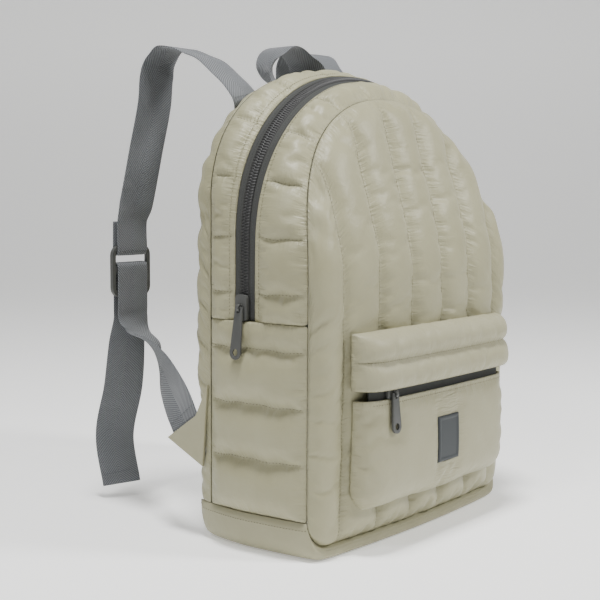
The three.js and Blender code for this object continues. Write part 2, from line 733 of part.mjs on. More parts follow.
const rightUpperRows = [
  { across: 0.733, back: 0, up: 0.811, wx: 1, wy: 0, wz: 0 },
  { across: 0.725, back: 0, up: 0.858, wx: 1, wy: 0, wz: 0 },
  { across: 0.667, back: 0.186, up: 0.898, wx: 0.95, wy: 0.3, wz: 0 },
  { across: 0.600, back: 0.371, up: 0.947, wx: 0.87, wy: 0.5, wz: 0 },
  { across: 0.667, back: 0.521, up: 0.989, wx: 0.87, wy: 0.5, wz: 0 },
  { across: 0.708, back: 0.641, up: 1.001, wx: 0.9, wy: 0.4, wz: 0 },
  { across: 0.717, back: 0.784, up: 1.004, wx: 1, wy: 0, wz: 0 },
  { across: 0.708, back: 0.841, up: 0.981, wx: 1, wy: 0, wz: 0 },
  { across: 0.717, back: 0.856, up: 0.939, wx: 1, wy: 0, wz: 0 },
  { across: 0.790, back: 0.886, up: 0.861, wx: 0.98, wy: -0.17, wz: 0 },
  { across: 0.889, back: 0.927, up: 0.755, wx: 0.98, wy: -0.17, wz: 0 },
  { across: 0.982, back: 0.966, up: 0.655, wx: 0.98, wy: -0.17, wz: 0 },
];

// Lower strap: from the tail's hem up, over the adjuster's middle bar and down to the side tab
const lowerRows = [
  { across: 0.967, back: 1.179, up: 0.024, wx: 0.64, wy: -0.77, wz: 0 },
  { across: 0.983, back: 1.236, up: 0.131, wx: 0.7, wy: -0.7, wz: 0 },
  { across: 1.000, back: 1.121, up: 0.249, wx: 0.8, wy: -0.6, wz: 0 },
  { across: 1.038, back: 1.043, up: 0.350, wx: 0.95, wy: -0.3, wz: 0 },
  { across: 1.030, back: 1.030, up: 0.406, wx: 1, wy: 0, wz: 0 },
  { across: 1.030, back: 1.030, up: 0.426, wx: 1, wy: 0, wz: 0 },
  { across: 1.030, back: 1.030, up: 0.483, wx: 1, wy: 0, wz: 0 },
];
const returnRows = [
  { across: 1.030, back: 0.984, up: 0.483, wx: 1, wy: 0, wz: 0 },
  { across: 1.030, back: 0.984, up: 0.426, wx: 1, wy: 0, wz: 0 },
  { across: 1.030, back: 0.984, up: 0.406, wx: 1, wy: 0, wz: 0 },
  { across: 1.026, back: 0.940, up: 0.378, wx: 0.95, wy: 0.3, wz: 0 },
  { across: 1.050, back: 0.800, up: 0.355, wx: 0.77, wy: 0.64, wz: 0 },
  { across: 1.117, back: 0.636, up: 0.320, wx: 0.5, wy: 0.82, wz: -0.2 },
  { across: 1.192, back: 0.479, up: 0.282, wx: 0.2, wy: 0.87, wz: -0.45 },
  { across: 1.271, back: 0.307, up: 0.238, wx: 0, wy: 0.84, wz: -0.54 },
  { across: 1.295, back: 0.214, up: 0.200, wx: 0, wy: 0.81, wz: -0.58 },
];

// The two adjusters hang where the straps meet; a strap turns round a bar of its adjuster
const adjusterPlace = { across: 1.03, back: 1.007, up: 0.51 };
const barTurn = adjusterThickness / 2 + seamGap + webbingThickness / 2;
const topBar = adjusterHeight / 2 - adjusterDrop - adjusterBar / 2;
function barLoop(height, climbs, start, centre) {
  return [0, 0.25, 0.5, 0.75, 1].map((share) => {
    const angle = share * Math.PI;
    const rise = height + climbs * (adjusterBar / 2 + barTurn * Math.sin(angle));
    return new THREE.Vector3(0, start * barTurn * Math.cos(angle), rise).add(centre);
  });
}

function adjusterGeometry() {
  const shape = roundedRectangle(adjusterWidth, adjusterHeight, adjusterBar * 1.6);
  const slotHalf = (webbingWidth / 2) + 1;
  const top = adjusterHeight / 2 - adjusterBar;
  const middle = adjusterDrop;
  for (const [low, high] of [[middle + adjusterBar / 2, top], [-top, middle - adjusterBar / 2]]) {
    const slot = new THREE.Path();
    slot.moveTo(-slotHalf, low);
    slot.lineTo(slotHalf, low);
    slot.lineTo(slotHalf, high);
    slot.lineTo(-slotHalf, high);
    shape.holes.push(slot);
  }
  const geometry = new THREE.ExtrudeGeometry(shape, { depth: adjusterThickness, bevelEnabled: false, curveSegments: 4 });
  geometry.translate(0, -adjusterDrop, -adjusterThickness / 2);
  return geometry;
}

function tabGeometry() {
  const shape = new THREE.Shape();
  for (const [i, { back, up }] of tabCorners.entries()) {
    const y = rearSeamSetback + tabClear + back * tabReach;
    const z = mix(tabFoot, tabTop, up);
    if (i === 0) shape.moveTo(-y, z);
    else shape.lineTo(-y, z);
  }
  const geometry = new THREE.ExtrudeGeometry(shape, { depth: tabThickness, bevelEnabled: false });
  geometry.translate(0, 0, -tabThickness / 2);
  return geometry;
}

// Shoulder straps, adjusters and side tabs
for (const [side, mirror, upperRows] of [['left', 1, leftUpperRows], ['right', -1, rightUpperRows]]) {
  const centre = new THREE.Vector3(
    -mirror * adjusterPlace.across * strapSpread,
    rearSeamSetback + adjusterPlace.back * strapReach,
    floorLift + adjusterPlace.up * strapRise,
  );
  const broad = new THREE.Vector3(mirror, 0, 0);
  const legEnds = [-1, 1].map((start) => (
    new THREE.Vector3(0, start * barTurn, topBar + flapLength).add(centre)
  ));
  const upperTurn = [legEnds[0], ...barLoop(topBar, -1, -1, centre), legEnds[1]];
  webbing(`strap_upper_${side}`, [
    ...strapRows(upperRows, mirror),
    ...upperTurn.map((at) => ({ at, broad })),
  ], webbingWidth, 46);
  place(addMesh(`strap_adjuster_${side}`, adjusterGeometry(), plasticColour, 0.5), 'front', centre.x, centre.y, centre.z);
  webbing(`strap_lower_${side}`, [
    ...strapRows(lowerRows, mirror),
    ...barLoop(0, 1, 1, centre).map((at) => ({ at, broad })),
    ...strapRows(returnRows, mirror),
  ], webbingWidth, 48);
  const tabPlace = -mirror * (rearSeamHalfWidth + tabThickness / 2 + tabProud);
  place(addMesh(`strap_tab_${side}`, tabGeometry(), shellColour), 'left', tabPlace, 0, 0);
}

// Grab handle: rows hold shares of half its span, its reach behind the rear seam and its rise over it
const handleRows = [
  { span: -1.000, back: 0, rise: -1.094, wx: 1, wy: 0, wz: 0 },
  { span: -1.000, back: 0, rise: -0.750, wx: 1, wy: 0, wz: 0 },
  { span: -1.036, back: 0.295, rise: -0.406, wx: 0.98, wy: 0.2, wz: 0 },
  { span: -1.071, back: 0.389, rise: -0.094, wx: 0.8, wy: 0.6, wz: 0 },
  { span: -1.036, back: 0.463, rise: 0.219, wx: 0.45, wy: 0.9, wz: 0 },
  { span: -0.893, back: 0.505, rise: 0.531, wx: 0.12, wy: 1, wz: 0 },
  { span: -0.571, back: 0.526, rise: 0.812, wx: 0, wy: 1, wz: 0 },
  { span: -0.179, back: 0.537, rise: 0.969, wx: 0, wy: 1, wz: 0 },
  { span: 0.179, back: 0.537, rise: 0.969, wx: 0, wy: 1, wz: 0 },
  { span: 0.571, back: 0.526, rise: 0.812, wx: 0, wy: 1, wz: 0 },
  { span: 0.893, back: 0.505, rise: 0.531, wx: -0.12, wy: 1, wz: 0 },
  { span: 1.036, back: 0.463, rise: 0.219, wx: -0.45, wy: 0.9, wz: 0 },
  { span: 1.071, back: 0.389, rise: -0.094, wx: -0.8, wy: 0.6, wz: 0 },
  { span: 1.036, back: 0.295, rise: -0.406, wx: -0.98, wy: 0.2, wz: 0 },
  { span: 1.000, back: 0, rise: -0.750, wx: -1, wy: 0, wz: 0 },
  { span: 1.000, back: 0, rise: -1.094, wx: -1, wy: 0, wz: 0 },
];
webbing('grab_handle', handleRows.map(({ span, back, rise, wx, wy, wz }) => {
  const x = span * handleHalfSpan;
  const z = rearSeamApex + rise * handleRise;
  const y = back === 0 ? seatOnBack(x, z) : rearSeamSetback + back * handleReach;
  return { at: new THREE.Vector3(x, y, z), broad: new THREE.Vector3(wx, wy, wz) };
}), handleWidth, 36);

export default bag;
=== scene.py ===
# Quilted puffer backpack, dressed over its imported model: padded nylon shell, coil zips, twill webbing
import math
import bmesh
import bpy
import numpy as np
from mathutils import Matrix, Vector


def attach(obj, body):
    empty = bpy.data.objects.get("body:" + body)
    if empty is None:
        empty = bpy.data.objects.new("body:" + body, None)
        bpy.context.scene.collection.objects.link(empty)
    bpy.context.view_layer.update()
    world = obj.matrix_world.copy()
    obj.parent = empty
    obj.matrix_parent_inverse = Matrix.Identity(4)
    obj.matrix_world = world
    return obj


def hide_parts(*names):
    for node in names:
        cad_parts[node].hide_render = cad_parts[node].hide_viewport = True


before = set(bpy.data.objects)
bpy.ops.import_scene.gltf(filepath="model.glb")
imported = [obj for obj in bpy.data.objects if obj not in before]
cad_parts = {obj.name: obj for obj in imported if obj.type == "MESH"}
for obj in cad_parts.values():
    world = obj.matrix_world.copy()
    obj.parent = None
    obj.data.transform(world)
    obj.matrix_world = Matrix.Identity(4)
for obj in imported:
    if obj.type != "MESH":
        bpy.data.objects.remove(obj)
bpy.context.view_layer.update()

mm = 0.001

# Camera and stage: the photograph's viewing angle, pale floor and soft light
cameraPlace = {
    "eye": (-0.8603, -0.6310, 0.3086), "forward": (0.7662, 0.6357, -0.0945), "roll": 0.34, "lens": 67.57,
}
stageLook = {
    "floorReach": 3.6, "wallRise": 3.4, "bendRadius": 0.9, "floorColour": "FBFBFA",
    "skyColour": "FBFBF8", "skyStrength": 0.14, "paperGlow": 0.34,
    "lights": [
        # name, place, target, size, power
        ("keySoftbox", (0.8, -1.6, 1.5), (0, 0, 0.2), 0.4, 33),
        ("sideSoftbox", (-1.6, -0.1, 1.7), (0, 0, 0.2), 0.4, 12),
        ("topSoftbox", (-0.35, -0.15, 2.0), (0, 0, 0.15), 0.4, 44),
    ],
}


# sRGB hex to linear RGBA: each channel c becomes ((c + 0.055) / 1.055) ** 2.4 above 0.04045
def linearColour(hexText):
    channels = [int(hexText[i:i + 2], 16) / 255 for i in (0, 2, 4)]
    return (*[c / 12.92 if c <= 0.04045 else ((c + 0.055) / 1.055) ** 2.4 for c in channels], 1.0)


def addNode(tree, kind, settings=None, links=None):
    node = tree.nodes.new(kind)
    for key, value in (settings or {}).items():
        if isinstance(key, int) or key in node.inputs:
            node.inputs[key].default_value = value
        else:
            setattr(node, key, value)
    for key, source in (links or {}).items():
        tree.links.new(source, node.inputs[key])
    return node


def unit(vectors):
    return vectors / np.maximum(np.linalg.norm(vectors, axis=-1, keepdims=True), 1e-9)


def setCamera():
    data = bpy.data.cameras.new("photoCamera")
    data.lens = cameraPlace["lens"]
    camera = bpy.data.objects.new("photoCamera", data)
    bpy.context.scene.collection.objects.link(camera)
    forward = unit(np.array(cameraPlace["forward"]))
    right = unit(np.cross(forward, (0, 0, 1)))
    up = np.cross(right, forward)
    roll = math.radians(cameraPlace["roll"])
    rolledRight = right * math.cos(roll) + up * math.sin(roll)
    rolledUp = up * math.cos(roll) - right * math.sin(roll)
    turned = np.eye(4)
    turned[:3] = np.stack([rolledRight, rolledUp, -forward, cameraPlace["eye"]], axis=1)
    camera.matrix_world = Matrix(turned.tolist())
    bpy.context.scene.camera = camera


def addStage():
    reach, rise, radius = stageLook["floorReach"], stageLook["wallRise"], stageLook["bendRadius"]
    arc = np.linspace(0, math.pi / 2, 13)
    ahead = np.array([cameraPlace["forward"][0], cameraPlace["forward"][1], 0])
    ahead = unit(ahead)
    across = np.array([ahead[1], -ahead[0], 0])
    # Profile: flat floor, a quarter turn, then a wall behind the bag
    run = np.concatenate([[-reach], reach - radius + radius * np.sin(arc), [reach]])
    height = np.concatenate([[0], radius * (1 - np.cos(arc)), [rise]])
    side = np.array([-1.6, 1.6]) * reach
    points = (run[:, None, None] * ahead + side[None, :, None] * across
              + height[:, None, None] * np.array([0, 0, 1.0]))
    floor = makeGrid("studioFloor", points, stageMaterial())
    for name, place, target, size, power in stageLook["lights"]:
        data = bpy.data.lights.new(name, "AREA")
        data.shape = "DISK"
        data.size = size
        data.energy = power
        light = bpy.data.objects.new(name, data)
        light.location = place
        light.rotation_euler = (Vector(target) - Vector(place)).to_track_quat("-Z", "Y").to_euler()
        bpy.context.scene.collection.objects.link(light)
    world = bpy.data.worlds.new("softSky")
    world.use_nodes = True
    background = world.node_tree.nodes["Background"]
    background.inputs["Color"].default_value = linearColour(stageLook["skyColour"])
    background.inputs["Strength"].default_value = stageLook["skyStrength"]
    bpy.context.scene.world = world


def startMaterial(name, settings):
    material = bpy.data.materials.new(name)
    material.use_nodes = True
    tree = material.node_tree
    shader = tree.nodes["Principled BSDF"]
    for key, value in settings.items():
        shader.inputs[key].default_value = value
    return material, tree, shader


def stageMaterial():
    paper = linearColour(stageLook["floorColour"])
    return startMaterial("mattePaper", {
        "Base Color": paper, "Roughness": 0.9, "Specular IOR Level": 0.1, "Emission Color": paper,
        "Emission Strength": stageLook["paperGlow"]})[0]


fabricLook = {
    "quilted": {"light": "A5A286", "dark": "928E70", "roughness": 0.42, "sheen": 0.12},
    "plain": {"light": "A4A187", "dark": "949073", "roughness": 0.48, "sheen": 0.12},
    "threadSpacing": 0.9,   # mm, coarser than the real 0.2 mm so that it shows
    "threadHeight": 0.08,   # mm
    "blotchSize": 45.45,    # mm across the faint patches of a lighter or a darker dye
    "crinkleSize": 7.0,     # mm between the small creases of the coated cloth
    "crinkleHeight": 0.7,   # mm
    "puckerSize": 2.6,      # mm between the short creases that the thread draws up at a seam
    "puckerReach": 12.0,     # mm that they run out from it
    "puckerHeight": 2.4,    # mm
}


# Woven and calendered nylon taffeta: a fine even grid of threads, a soft sheen and small creases
def taffetaNylon(kind):
    look = fabricLook[kind]
    material, tree, shader = startMaterial("taffetaNylon" + kind.capitalize(), {
        "Roughness": look["roughness"], "Sheen Weight": look["sheen"], "Sheen Roughness": 0.35,
        "Specular IOR Level": 0.35})
    shader.inputs["Sheen Tint"].default_value = linearColour("FFFDF2")
    place = addNode(tree, "ShaderNodeTexCoord").outputs["Object"]
    cloth = addNode(tree, "ShaderNodeUVMap", {"uv_map": "cloth"}).outputs["UV"]
    blotch = addNode(tree, "ShaderNodeTexNoise", {
        "Scale": 1 / (fabricLook["blotchSize"] * mm), "Detail": 3.0, "Roughness": 0.6}, {"Vector": place})
    colour = addNode(tree, "ShaderNodeMix", {
        "data_type": "RGBA", 6: linearColour(look["dark"]), 7: linearColour(look["light"])})
    tree.links.new(blotch.outputs[0], colour.inputs[0])
    tree.links.new(colour.outputs[2], shader.inputs["Base Color"])
    # A band of the wave texture is pi / 10 divided by its scale wide
    scale = math.pi / 10 / (fabricLook["threadSpacing"] * mm)
    warp = addNode(tree, "ShaderNodeTexWave", {"bands_direction": "X", "Scale": scale}, {"Vector": cloth})
    weft = addNode(tree, "ShaderNodeTexWave", {"bands_direction": "Y", "Scale": scale}, {"Vector": cloth})
    weave = addNode(tree, "ShaderNodeMath", {"operation": "MULTIPLY"}, {
        0: warp.outputs[1], 1: weft.outputs[1]})
    threads = addNode(tree, "ShaderNodeBump", {
        "Strength": 0.35, "Distance": fabricLook["threadHeight"] * mm}, {"Height": weave.outputs[0]})
    crinkle = addNode(tree, "ShaderNodeTexNoise", {
        "Scale": 1 / (fabricLook["crinkleSize"] * mm), "Detail": 3.0, "Roughness": 0.55, "Distortion": 0.6},
        {"Vector": place})
    creases = addNode(tree, "ShaderNodeBump", {
        "Strength": 0.55, "Distance": fabricLook["crinkleHeight"] * mm}, {
        "Height": crinkle.outputs[0], "Normal": threads.outputs[0]})
    # Puckers: noise drawn out square to a seam, as high as the cloth is near that seam
    height = None
    for name, stretch in (("puckerAcross", (1.0, 0.16, 1.0)), ("puckerAlong", (0.16, 1.0, 1.0))):
        drawn = addNode(tree, "ShaderNodeVectorMath", {"operation": "MULTIPLY", 1: stretch}, {0: cloth})
        noise = addNode(tree, "ShaderNodeTexNoise", {
            "Scale": 1 / (fabricLook["puckerSize"] * mm), "Detail": 2.0, "Distortion": 0.5}, {
            "Vector": drawn.outputs[0]})
        near = addNode(tree, "ShaderNodeAttribute", {"attribute_name": name})
        part = addNode(tree, "ShaderNodeMath", {"operation": "MULTIPLY"}, {
            0: noise.outputs[0], 1: near.outputs[2]})
        height = part if height is None else addNode(
            tree, "ShaderNodeMath", {"operation": "ADD"}, {0: height.outputs[0], 1: part.outputs[0]})
    puckers = addNode(tree, "ShaderNodeBump", {
        "Strength": 0.8, "Distance": fabricLook["puckerHeight"] * mm}, {
        "Height": height.outputs[0], "Normal": creases.outputs[0]})
    tree.links.new(puckers.outputs[0], shader.inputs["Normal"])
    return material


# light is the colour of a lit rib crest, dark is painted shade in the rib grooves
webbingLook = {"light": "74777A", "dark": "474A4E", "ribSpacing": 2.6, "ribHeight": 0.5, "roughness": 0.72}


# Loom-woven polyester webbing: diagonal ribs that meet in a herringbone along the middle, matte; each rib's
# troughs are painted darker than its crests, painted shade in the grooves
def twillWebbing():
    material, tree, shader = startMaterial("twillWebbing", {
        "Roughness": webbingLook["roughness"], "Sheen Weight": 0.25, "Specular IOR Level": 0.3})
    cloth = addNode(tree, "ShaderNodeUVMap", {"uv_map": "cloth"}).outputs["UV"]
    parts = addNode(tree, "ShaderNodeSeparateXYZ", links={0: cloth})
    side = addNode(tree, "ShaderNodeMath", {"operation": "ABSOLUTE"}, {0: parts.outputs[0]})
    slant = addNode(tree, "ShaderNodeMath", {"operation": "ADD"}, {0: side.outputs[0], 1: parts.outputs[1]})
    turn = 2 * math.pi / (webbingLook["ribSpacing"] * mm)
    angle = addNode(tree, "ShaderNodeMath", {"operation": "MULTIPLY", 1: turn}, {0: slant.outputs[0]})
    wave = addNode(tree, "ShaderNodeMath", {"operation": "SINE"}, {0: angle.outputs[0]})
    ribHeightAndGrooveShade = addNode(tree, "ShaderNodeMath", {"operation": "MULTIPLY_ADD", 1: 0.5, 2: 0.5}, {0: wave.outputs[0]})
    # The colour follows the rib height: painted shade in the troughs, lighter on the crests
    colour = addNode(tree, "ShaderNodeMix", {
        "data_type": "RGBA", 6: linearColour(webbingLook["dark"]), 7: linearColour(webbingLook["light"])})
    tree.links.new(ribHeightAndGrooveShade.outputs[0], colour.inputs[0])
    tree.links.new(colour.outputs[2], shader.inputs["Base Color"])
    ribs = addNode(tree, "ShaderNodeBump", {"Strength": 0.9, "Distance": webbingLook["ribHeight"] * mm},
                   {"Height": ribHeightAndGrooveShade.outputs[0]})
    tree.links.new(ribs.outputs[0], shader.inputs["Normal"])
    return material


# One colour with a fine even grain: grain is its size in millimetres and its height in millimetres
def plainFinish(name, colour, roughness, grain, sheen=0.0):
    material, tree, shader = startMaterial(name, {
        "Base Color": linearColour(colour), "Roughness": roughness, "Sheen Weight": sheen,
        "Specular IOR Level": 0.4})
    place = addNode(tree, "ShaderNodeTexCoord").outputs["Object"]
    size, height = grain
    noise = addNode(tree, "ShaderNodeTexNoise", {"Scale": 1 / (size * mm), "Detail": 2.0}, {"Vector": place})
    bump = addNode(tree, "ShaderNodeBump", {"Strength": 0.5, "Distance": height * mm}, {
        "Height": noise.outputs[0]})
    tree.links.new(bump.outputs[0], shader.inputs["Normal"])
    return material


def gridFaces(rows, columns, start=0):
    i, j = np.meshgrid(np.arange(rows - 1), np.arange(columns - 1), indexing="ij")
    corner = start + (i * columns + j).ravel()
    return np.stack([corner, corner + 1, corner + columns + 1, corner + columns], axis=1)


# Distance along the rows and the columns of a grid, averaged, so that a weave keeps its size
def clothUv(points):
    down = np.linalg.norm(np.diff(points, axis=0), axis=2).mean(axis=1)
    across = np.linalg.norm(np.diff(points, axis=1), axis=2).mean(axis=0)
    v = np.concatenate([[0], np.cumsum(down)])
    u = np.concatenate([[0], np.cumsum(across)])
    grid = np.stack(np.meshgrid(u - u[-1] / 2, v), axis=2)
    return grid.reshape(-1, 2)


def makeMesh(name, points, faces, material, uv=None):
    mesh = bpy.data.meshes.new(name)
    mesh.from_pydata(np.asarray(points).reshape(-1, 3).tolist(), [], [list(map(int, face)) for face in faces])
    mesh.shade_smooth()
    if uv is not None:
        corners = np.empty(len(mesh.loops), dtype=np.int32)
        mesh.loops.foreach_get("vertex_index", corners)
        layer = mesh.uv_layers.new(name="cloth")
        layer.data.foreach_set("uv", np.asarray(uv)[corners].ravel())
    mesh.materials.append(material)
    piece = bpy.data.objects.new(name, mesh)
    bpy.context.scene.collection.objects.link(piece)
    return piece


def makeGrid(name, points, material):
    rows, columns = points.shape[:2]
    return makeMesh(name, points, gridFaces(rows, columns), material, clothUv(points))


def turnOutwards(piece):
    work = bmesh.new()
    work.from_mesh(piece.data)
    bmesh.ops.recalc_face_normals(work, faces=work.faces)
    work.to_mesh(piece.data)
    work.free()


def subdivide(piece, levels=1):
    modifier = piece.modifiers.new("smooth", "SUBSURF")
    modifier.levels = levels
    modifier.render_levels = levels
    modifier.boundary_smooth = "PRESERVE_CORNERS"


stitchCrease = 0.85


# Nearness to the sewn rows and to the sewn columns of a grid: exp(-distance / reach)
def seamNearness(points, pinned):
    reach = fabricLook["puckerReach"] * mm / 2
    shares = []
    for axis in (0, 1):
        sewn = pinned.mean(axis=1 - axis) > 0.5
        steps = np.linalg.norm(np.diff(points, axis=axis), axis=2).mean(axis=1 - axis)
        place = np.concatenate([[0], np.cumsum(steps)])
        distance = np.abs(place[:, None] - place[None, sewn]).min(axis=1)
        near = np.exp(-distance / reach)
        shares.append(np.broadcast_to(near[:, None] if axis == 0 else near[None, :], pinned.shape))
    return shares


# A closed cloth body: the outer and the inner skin over one grid, joined by a band round the edge
def closedSheet(name, outer, inner, material, levels=1, pinned=None):
    rows, columns = outer.shape[:2]
    size = rows * columns
    index = np.arange(size).reshape(rows, columns)
    edge = np.concatenate([index[0, :-1], index[:-1, -1], index[-1, :0:-1], index[:0:-1, 0]])
    after = np.roll(edge, -1)
    band = np.stack([edge, edge + size, after + size, after], axis=1)
    front = gridFaces(rows, columns)
    back = gridFaces(rows, columns, size)[:, ::-1]
    uv = clothUv(outer)
    points = np.concatenate([outer.reshape(-1, 3), inner.reshape(-1, 3)])
    piece = makeMesh(name, points, np.concatenate([front, back, band]), material, np.concatenate([uv, uv]))
    turnOutwards(piece)
    if pinned is not None:
        for title, near in zip(("puckerAcross", "puckerAlong"), seamNearness(outer, pinned)):
            layer = piece.data.attributes.new(title, "FLOAT", "POINT")
            onSkins = np.concatenate([near.ravel(), 0 * near.ravel()])
            layer.data.foreach_set("value", onSkins.astype(np.float32))
    # The sewn edges stay crisp, so that two panels meet in a tight seam
    pairs = np.empty(len(piece.data.edges) * 2, dtype=np.int32)
    piece.data.edges.foreach_get("vertices", pairs)
    pairs = np.sort(pairs.reshape(-1, 2), axis=1).astype(np.int64)
    outline = np.stack([edge, after], axis=1)
    rim = np.sort(np.concatenate([outline, outline + size]), axis=1)
    onRim = np.isin(pairs[:, 0] * 4 * size + pairs[:, 1], rim[:, 0] * 4 * size + rim[:, 1])
    crisp = onRim.astype(np.float32)
    if pinned is not None:
        # So do the stitched lines of the outer skin, a little softer
        sewn = np.concatenate([pinned.ravel(), np.zeros(size, bool)])[pairs].all(axis=1)
        rowOf, columnOf = np.divmod(pairs % size, columns)
        sewnRow = (pinned.mean(axis=1) > 0.5)[rowOf].all(axis=1) & (rowOf[:, 0] == rowOf[:, 1])
        sewnColumn = (pinned.mean(axis=0) > 0.5)[columnOf].all(axis=1) & (columnOf[:, 0] == columnOf[:, 1])
        crisp[sewn & (sewnRow | sewnColumn) & ~onRim] = stitchCrease
    crease = piece.data.attributes.new("crease_edge", "FLOAT", "EDGE")
    crease.data.foreach_set("value", crisp)
    if levels:
        subdivide(piece, levels)
    return piece


puffSettings = {
    "scale": 10.0,      # the cloth is worked out ten times larger, where the solver is steadier
    "frames": 28, "drawIn": 10, "quality": 6, "mass": 0.12,
    "tension": 20.0, "compression": 20.0, "shear": 6.0, "bending": 0.03, "damping": 6.0, "airDamping": 2.0,
}


# Cloth between pinned stitches: cut larger by a share along each axis, blown away from the inner skin,
# and held near its start by cap
def puff(name, rest, inner, pinned, growth, pressure, cap):
    scale = puffSettings["scale"]
    rows, columns = rest.shape[:2]
    mesh = bpy.data.meshes.new(name + "Cloth")
    faces = gridFaces(rows, columns)
    normals = np.cross(rest[:-1, 1:] - rest[:-1, :-1], rest[1:, :-1] - rest[:-1, :-1])
    if np.sum(normals * (rest - inner)[:-1, :-1]) < 0:
        faces = faces[:, ::-1]
    middle = rest.reshape(-1, 3).mean(axis=0)
    cut = middle + (rest - middle) * (1 + np.array(growth))
    mesh.from_pydata((cut.reshape(-1, 3) * scale).tolist(), [], faces.tolist())
    cloth = bpy.data.objects.new(name + "Cloth", mesh)
    bpy.context.scene.collection.objects.link(cloth)
    stitches = cloth.vertex_groups.new(name="stitches")
    stitches.add(np.flatnonzero(pinned.ravel()).tolist(), 1.0, "REPLACE")
    modifier = cloth.modifiers.new("cloth", "CLOTH")
    settings = modifier.settings
    settings.quality = puffSettings["quality"]
    settings.mass = puffSettings["mass"]
    settings.tension_stiffness = puffSettings["tension"]
    settings.compression_stiffness = puffSettings["compression"]
    settings.shear_stiffness = puffSettings["shear"]
    settings.bending_stiffness = puffSettings["bending"]
    settings.tension_damping = puffSettings["damping"]
    settings.compression_damping = puffSettings["damping"]
    settings.air_damping = puffSettings["airDamping"]
    settings.vertex_group_mass = "stitches"
    # The cloth starts at its cut size, and its stitches then draw in to their places on the bag
    cloth.shape_key_add(name="cut")
    sewn = cloth.shape_key_add(name="sewn")
    sewn.data.foreach_set("co", (rest * scale).ravel())
    for frameNumber, share in ((1, 0.0), (puffSettings["drawIn"], 1.0)):
        sewn.value = share
        sewn.keyframe_insert("value", frame=frameNumber)
    settings.use_pressure = True
    settings.uniform_pressure_force = pressure
    settings.effector_weights.gravity = 0
    modifier.collision_settings.use_collision = False
    modifier.point_cache.frame_start = 1
    modifier.point_cache.frame_end = puffSettings["frames"]
    for step in range(1, puffSettings["frames"] + 1):
        bpy.context.scene.frame_set(step)
    solved = cloth.evaluated_get(bpy.context.evaluated_depsgraph_get()).data
    places = np.empty(rows * columns * 3)
    solved.vertices.foreach_get("co", places)
    bpy.data.objects.remove(cloth)
    bpy.data.meshes.remove(mesh)
    bpy.context.scene.frame_set(1)
    moved = places.reshape(rest.shape) / scale - rest
    length = np.linalg.norm(moved, axis=2, keepdims=True)
    limit = cap * mm
    print(f"{name}: moved {1000 * length.mean():.1f} mm on average, {1000 * length.max():.1f} mm at most")
    # The move is bent smoothly towards the cap, so that nothing is cut flat
    soft = limit * np.tanh(length / limit)
    return rest + moved * soft / np.maximum(length, 1e-9)


# Shell: outlines seen from the front (half width, where the arch springs, top, squareness), in millimetres
shellSizes = {
    "front": (150, 235, 394, 2.3), "zip": (157, 270, 418, 2.0), "rear": (156, 305, 420, 2.45),
    "frontDepth": 50, "topSetback": 30, "footForward": 8, "zipSetback": 14, "rearSetback": 54,
    "baseSeam": 34, "bottomSeam": 11, "zipEnd": 200, "channels": 19, "tapeEdge": 11, "seamGap": 0.25,
}


def ease(value):
    share = np.clip(value, 0, 1)
    return share * share * (3 - 2 * share)


# Height of an arch: spring + (apex - spring) * sqrt(1 - |x / half width| ** squareness)
def archHeight(outline, x):
    half, spring, apex, square = outline
    share = np.clip(np.abs(x) / half, 0, 1)
    return spring + (apex - spring) * np.sqrt(1 - share ** square)


# The front seam leans back towards the top and steps forward at the foot
def frontSeamPlace(x, z):
    half, spring, apex, _ = shellSizes["front"]
    foot = (1 - ease(z / shellSizes["baseSeam"] / 2)) * (1 - (x / half) ** 2)
    return (-shellSizes["frontDepth"] + shellSizes["topSetback"] * ease((z - spring) / (apex - spring))
            - shellSizes["footForward"] * foot)


frontSpring = shellSizes["front"][1]
sideRun = frontSpring - shellSizes["baseSeam"]
archRun = (math.pi / 4) * (shellSizes["front"][0] + shellSizes["front"][2] - frontSpring) * 1.03
sideShare = sideRun / (sideRun + archRun)


def heightToAlong(z):
    return (z - shellSizes["baseSeam"]) / sideRun * sideShare / 2


# A point on an outline, by its share along from the left base seam over the top: straight up the side,
# then where a ray from the spring line's middle meets the superellipse
def rimPoint(outline, along, place):
    half, spring, apex, square = outline
    side = np.where(along < 0.5, -1.0, 1.0)
    climb = 1 - np.abs(2 * along - 1)
    low = np.zeros_like(along)
    high = np.full_like(along, 2.0 * apex)
    angle = math.pi / 2 * np.clip((climb - sideShare) / (1 - sideShare), 0, 1)
    for _ in range(40):
        reach = (low + high) / 2
        rise = np.maximum(0, frontSpring + reach * np.sin(angle) - spring) / (apex - spring)
        outside = (np.abs(reach * np.cos(angle)) / half) ** square + rise ** 2 > 1
        high = np.where(outside, reach, high)
        low = np.where(outside, low, reach)
    onSide = climb <= sideShare
    x = side * np.where(onSide, half, low * np.cos(angle))
    straight = shellSizes["baseSeam"] + sideRun * climb / sideShare
    z = np.where(onSide, straight, frontSpring + low * np.sin(angle))
    return np.stack([x, place(x, z), z], axis=-1)


def frontRim(along):
    return rimPoint(shellSizes["front"], along, frontSeamPlace)


def zipRim(along):
    return rimPoint(shellSizes["zip"], along, lambda x, z: 0 * x + shellSizes["zipSetback"])


def rearRim(along):
    return rimPoint(shellSizes["rear"], along, lambda x, z: 0 * x + shellSizes["rearSetback"])


# The shell runs straight from the zip line to the front seam (offset below 0) and to the rear seam
def shellPoint(along, offset):
    middle = zipRim(along)
    edge = np.where((offset < 0)[..., None], frontRim(along), rearRim(along))
    width = np.linalg.norm(edge - middle, axis=-1, keepdims=True)
    return middle + (edge - middle) * np.clip(np.abs(offset)[..., None] / width, 0, 1)


def shellNormal(along, offset):
    step = 0.004
    run = shellPoint(np.minimum(1, along + step), offset) - shellPoint(np.maximum(0, along - step), offset)
    return unit(np.stack([-run[..., 2], 0 * run[..., 0], run[..., 0]], axis=-1))


# A quilted channel is 0 on its stitch lines and 1 half way: 1 - (2 * share - 1) ** 4
def channelRise(share):
    return 1 - (2 * (share - np.floor(share)) - 1) ** 4


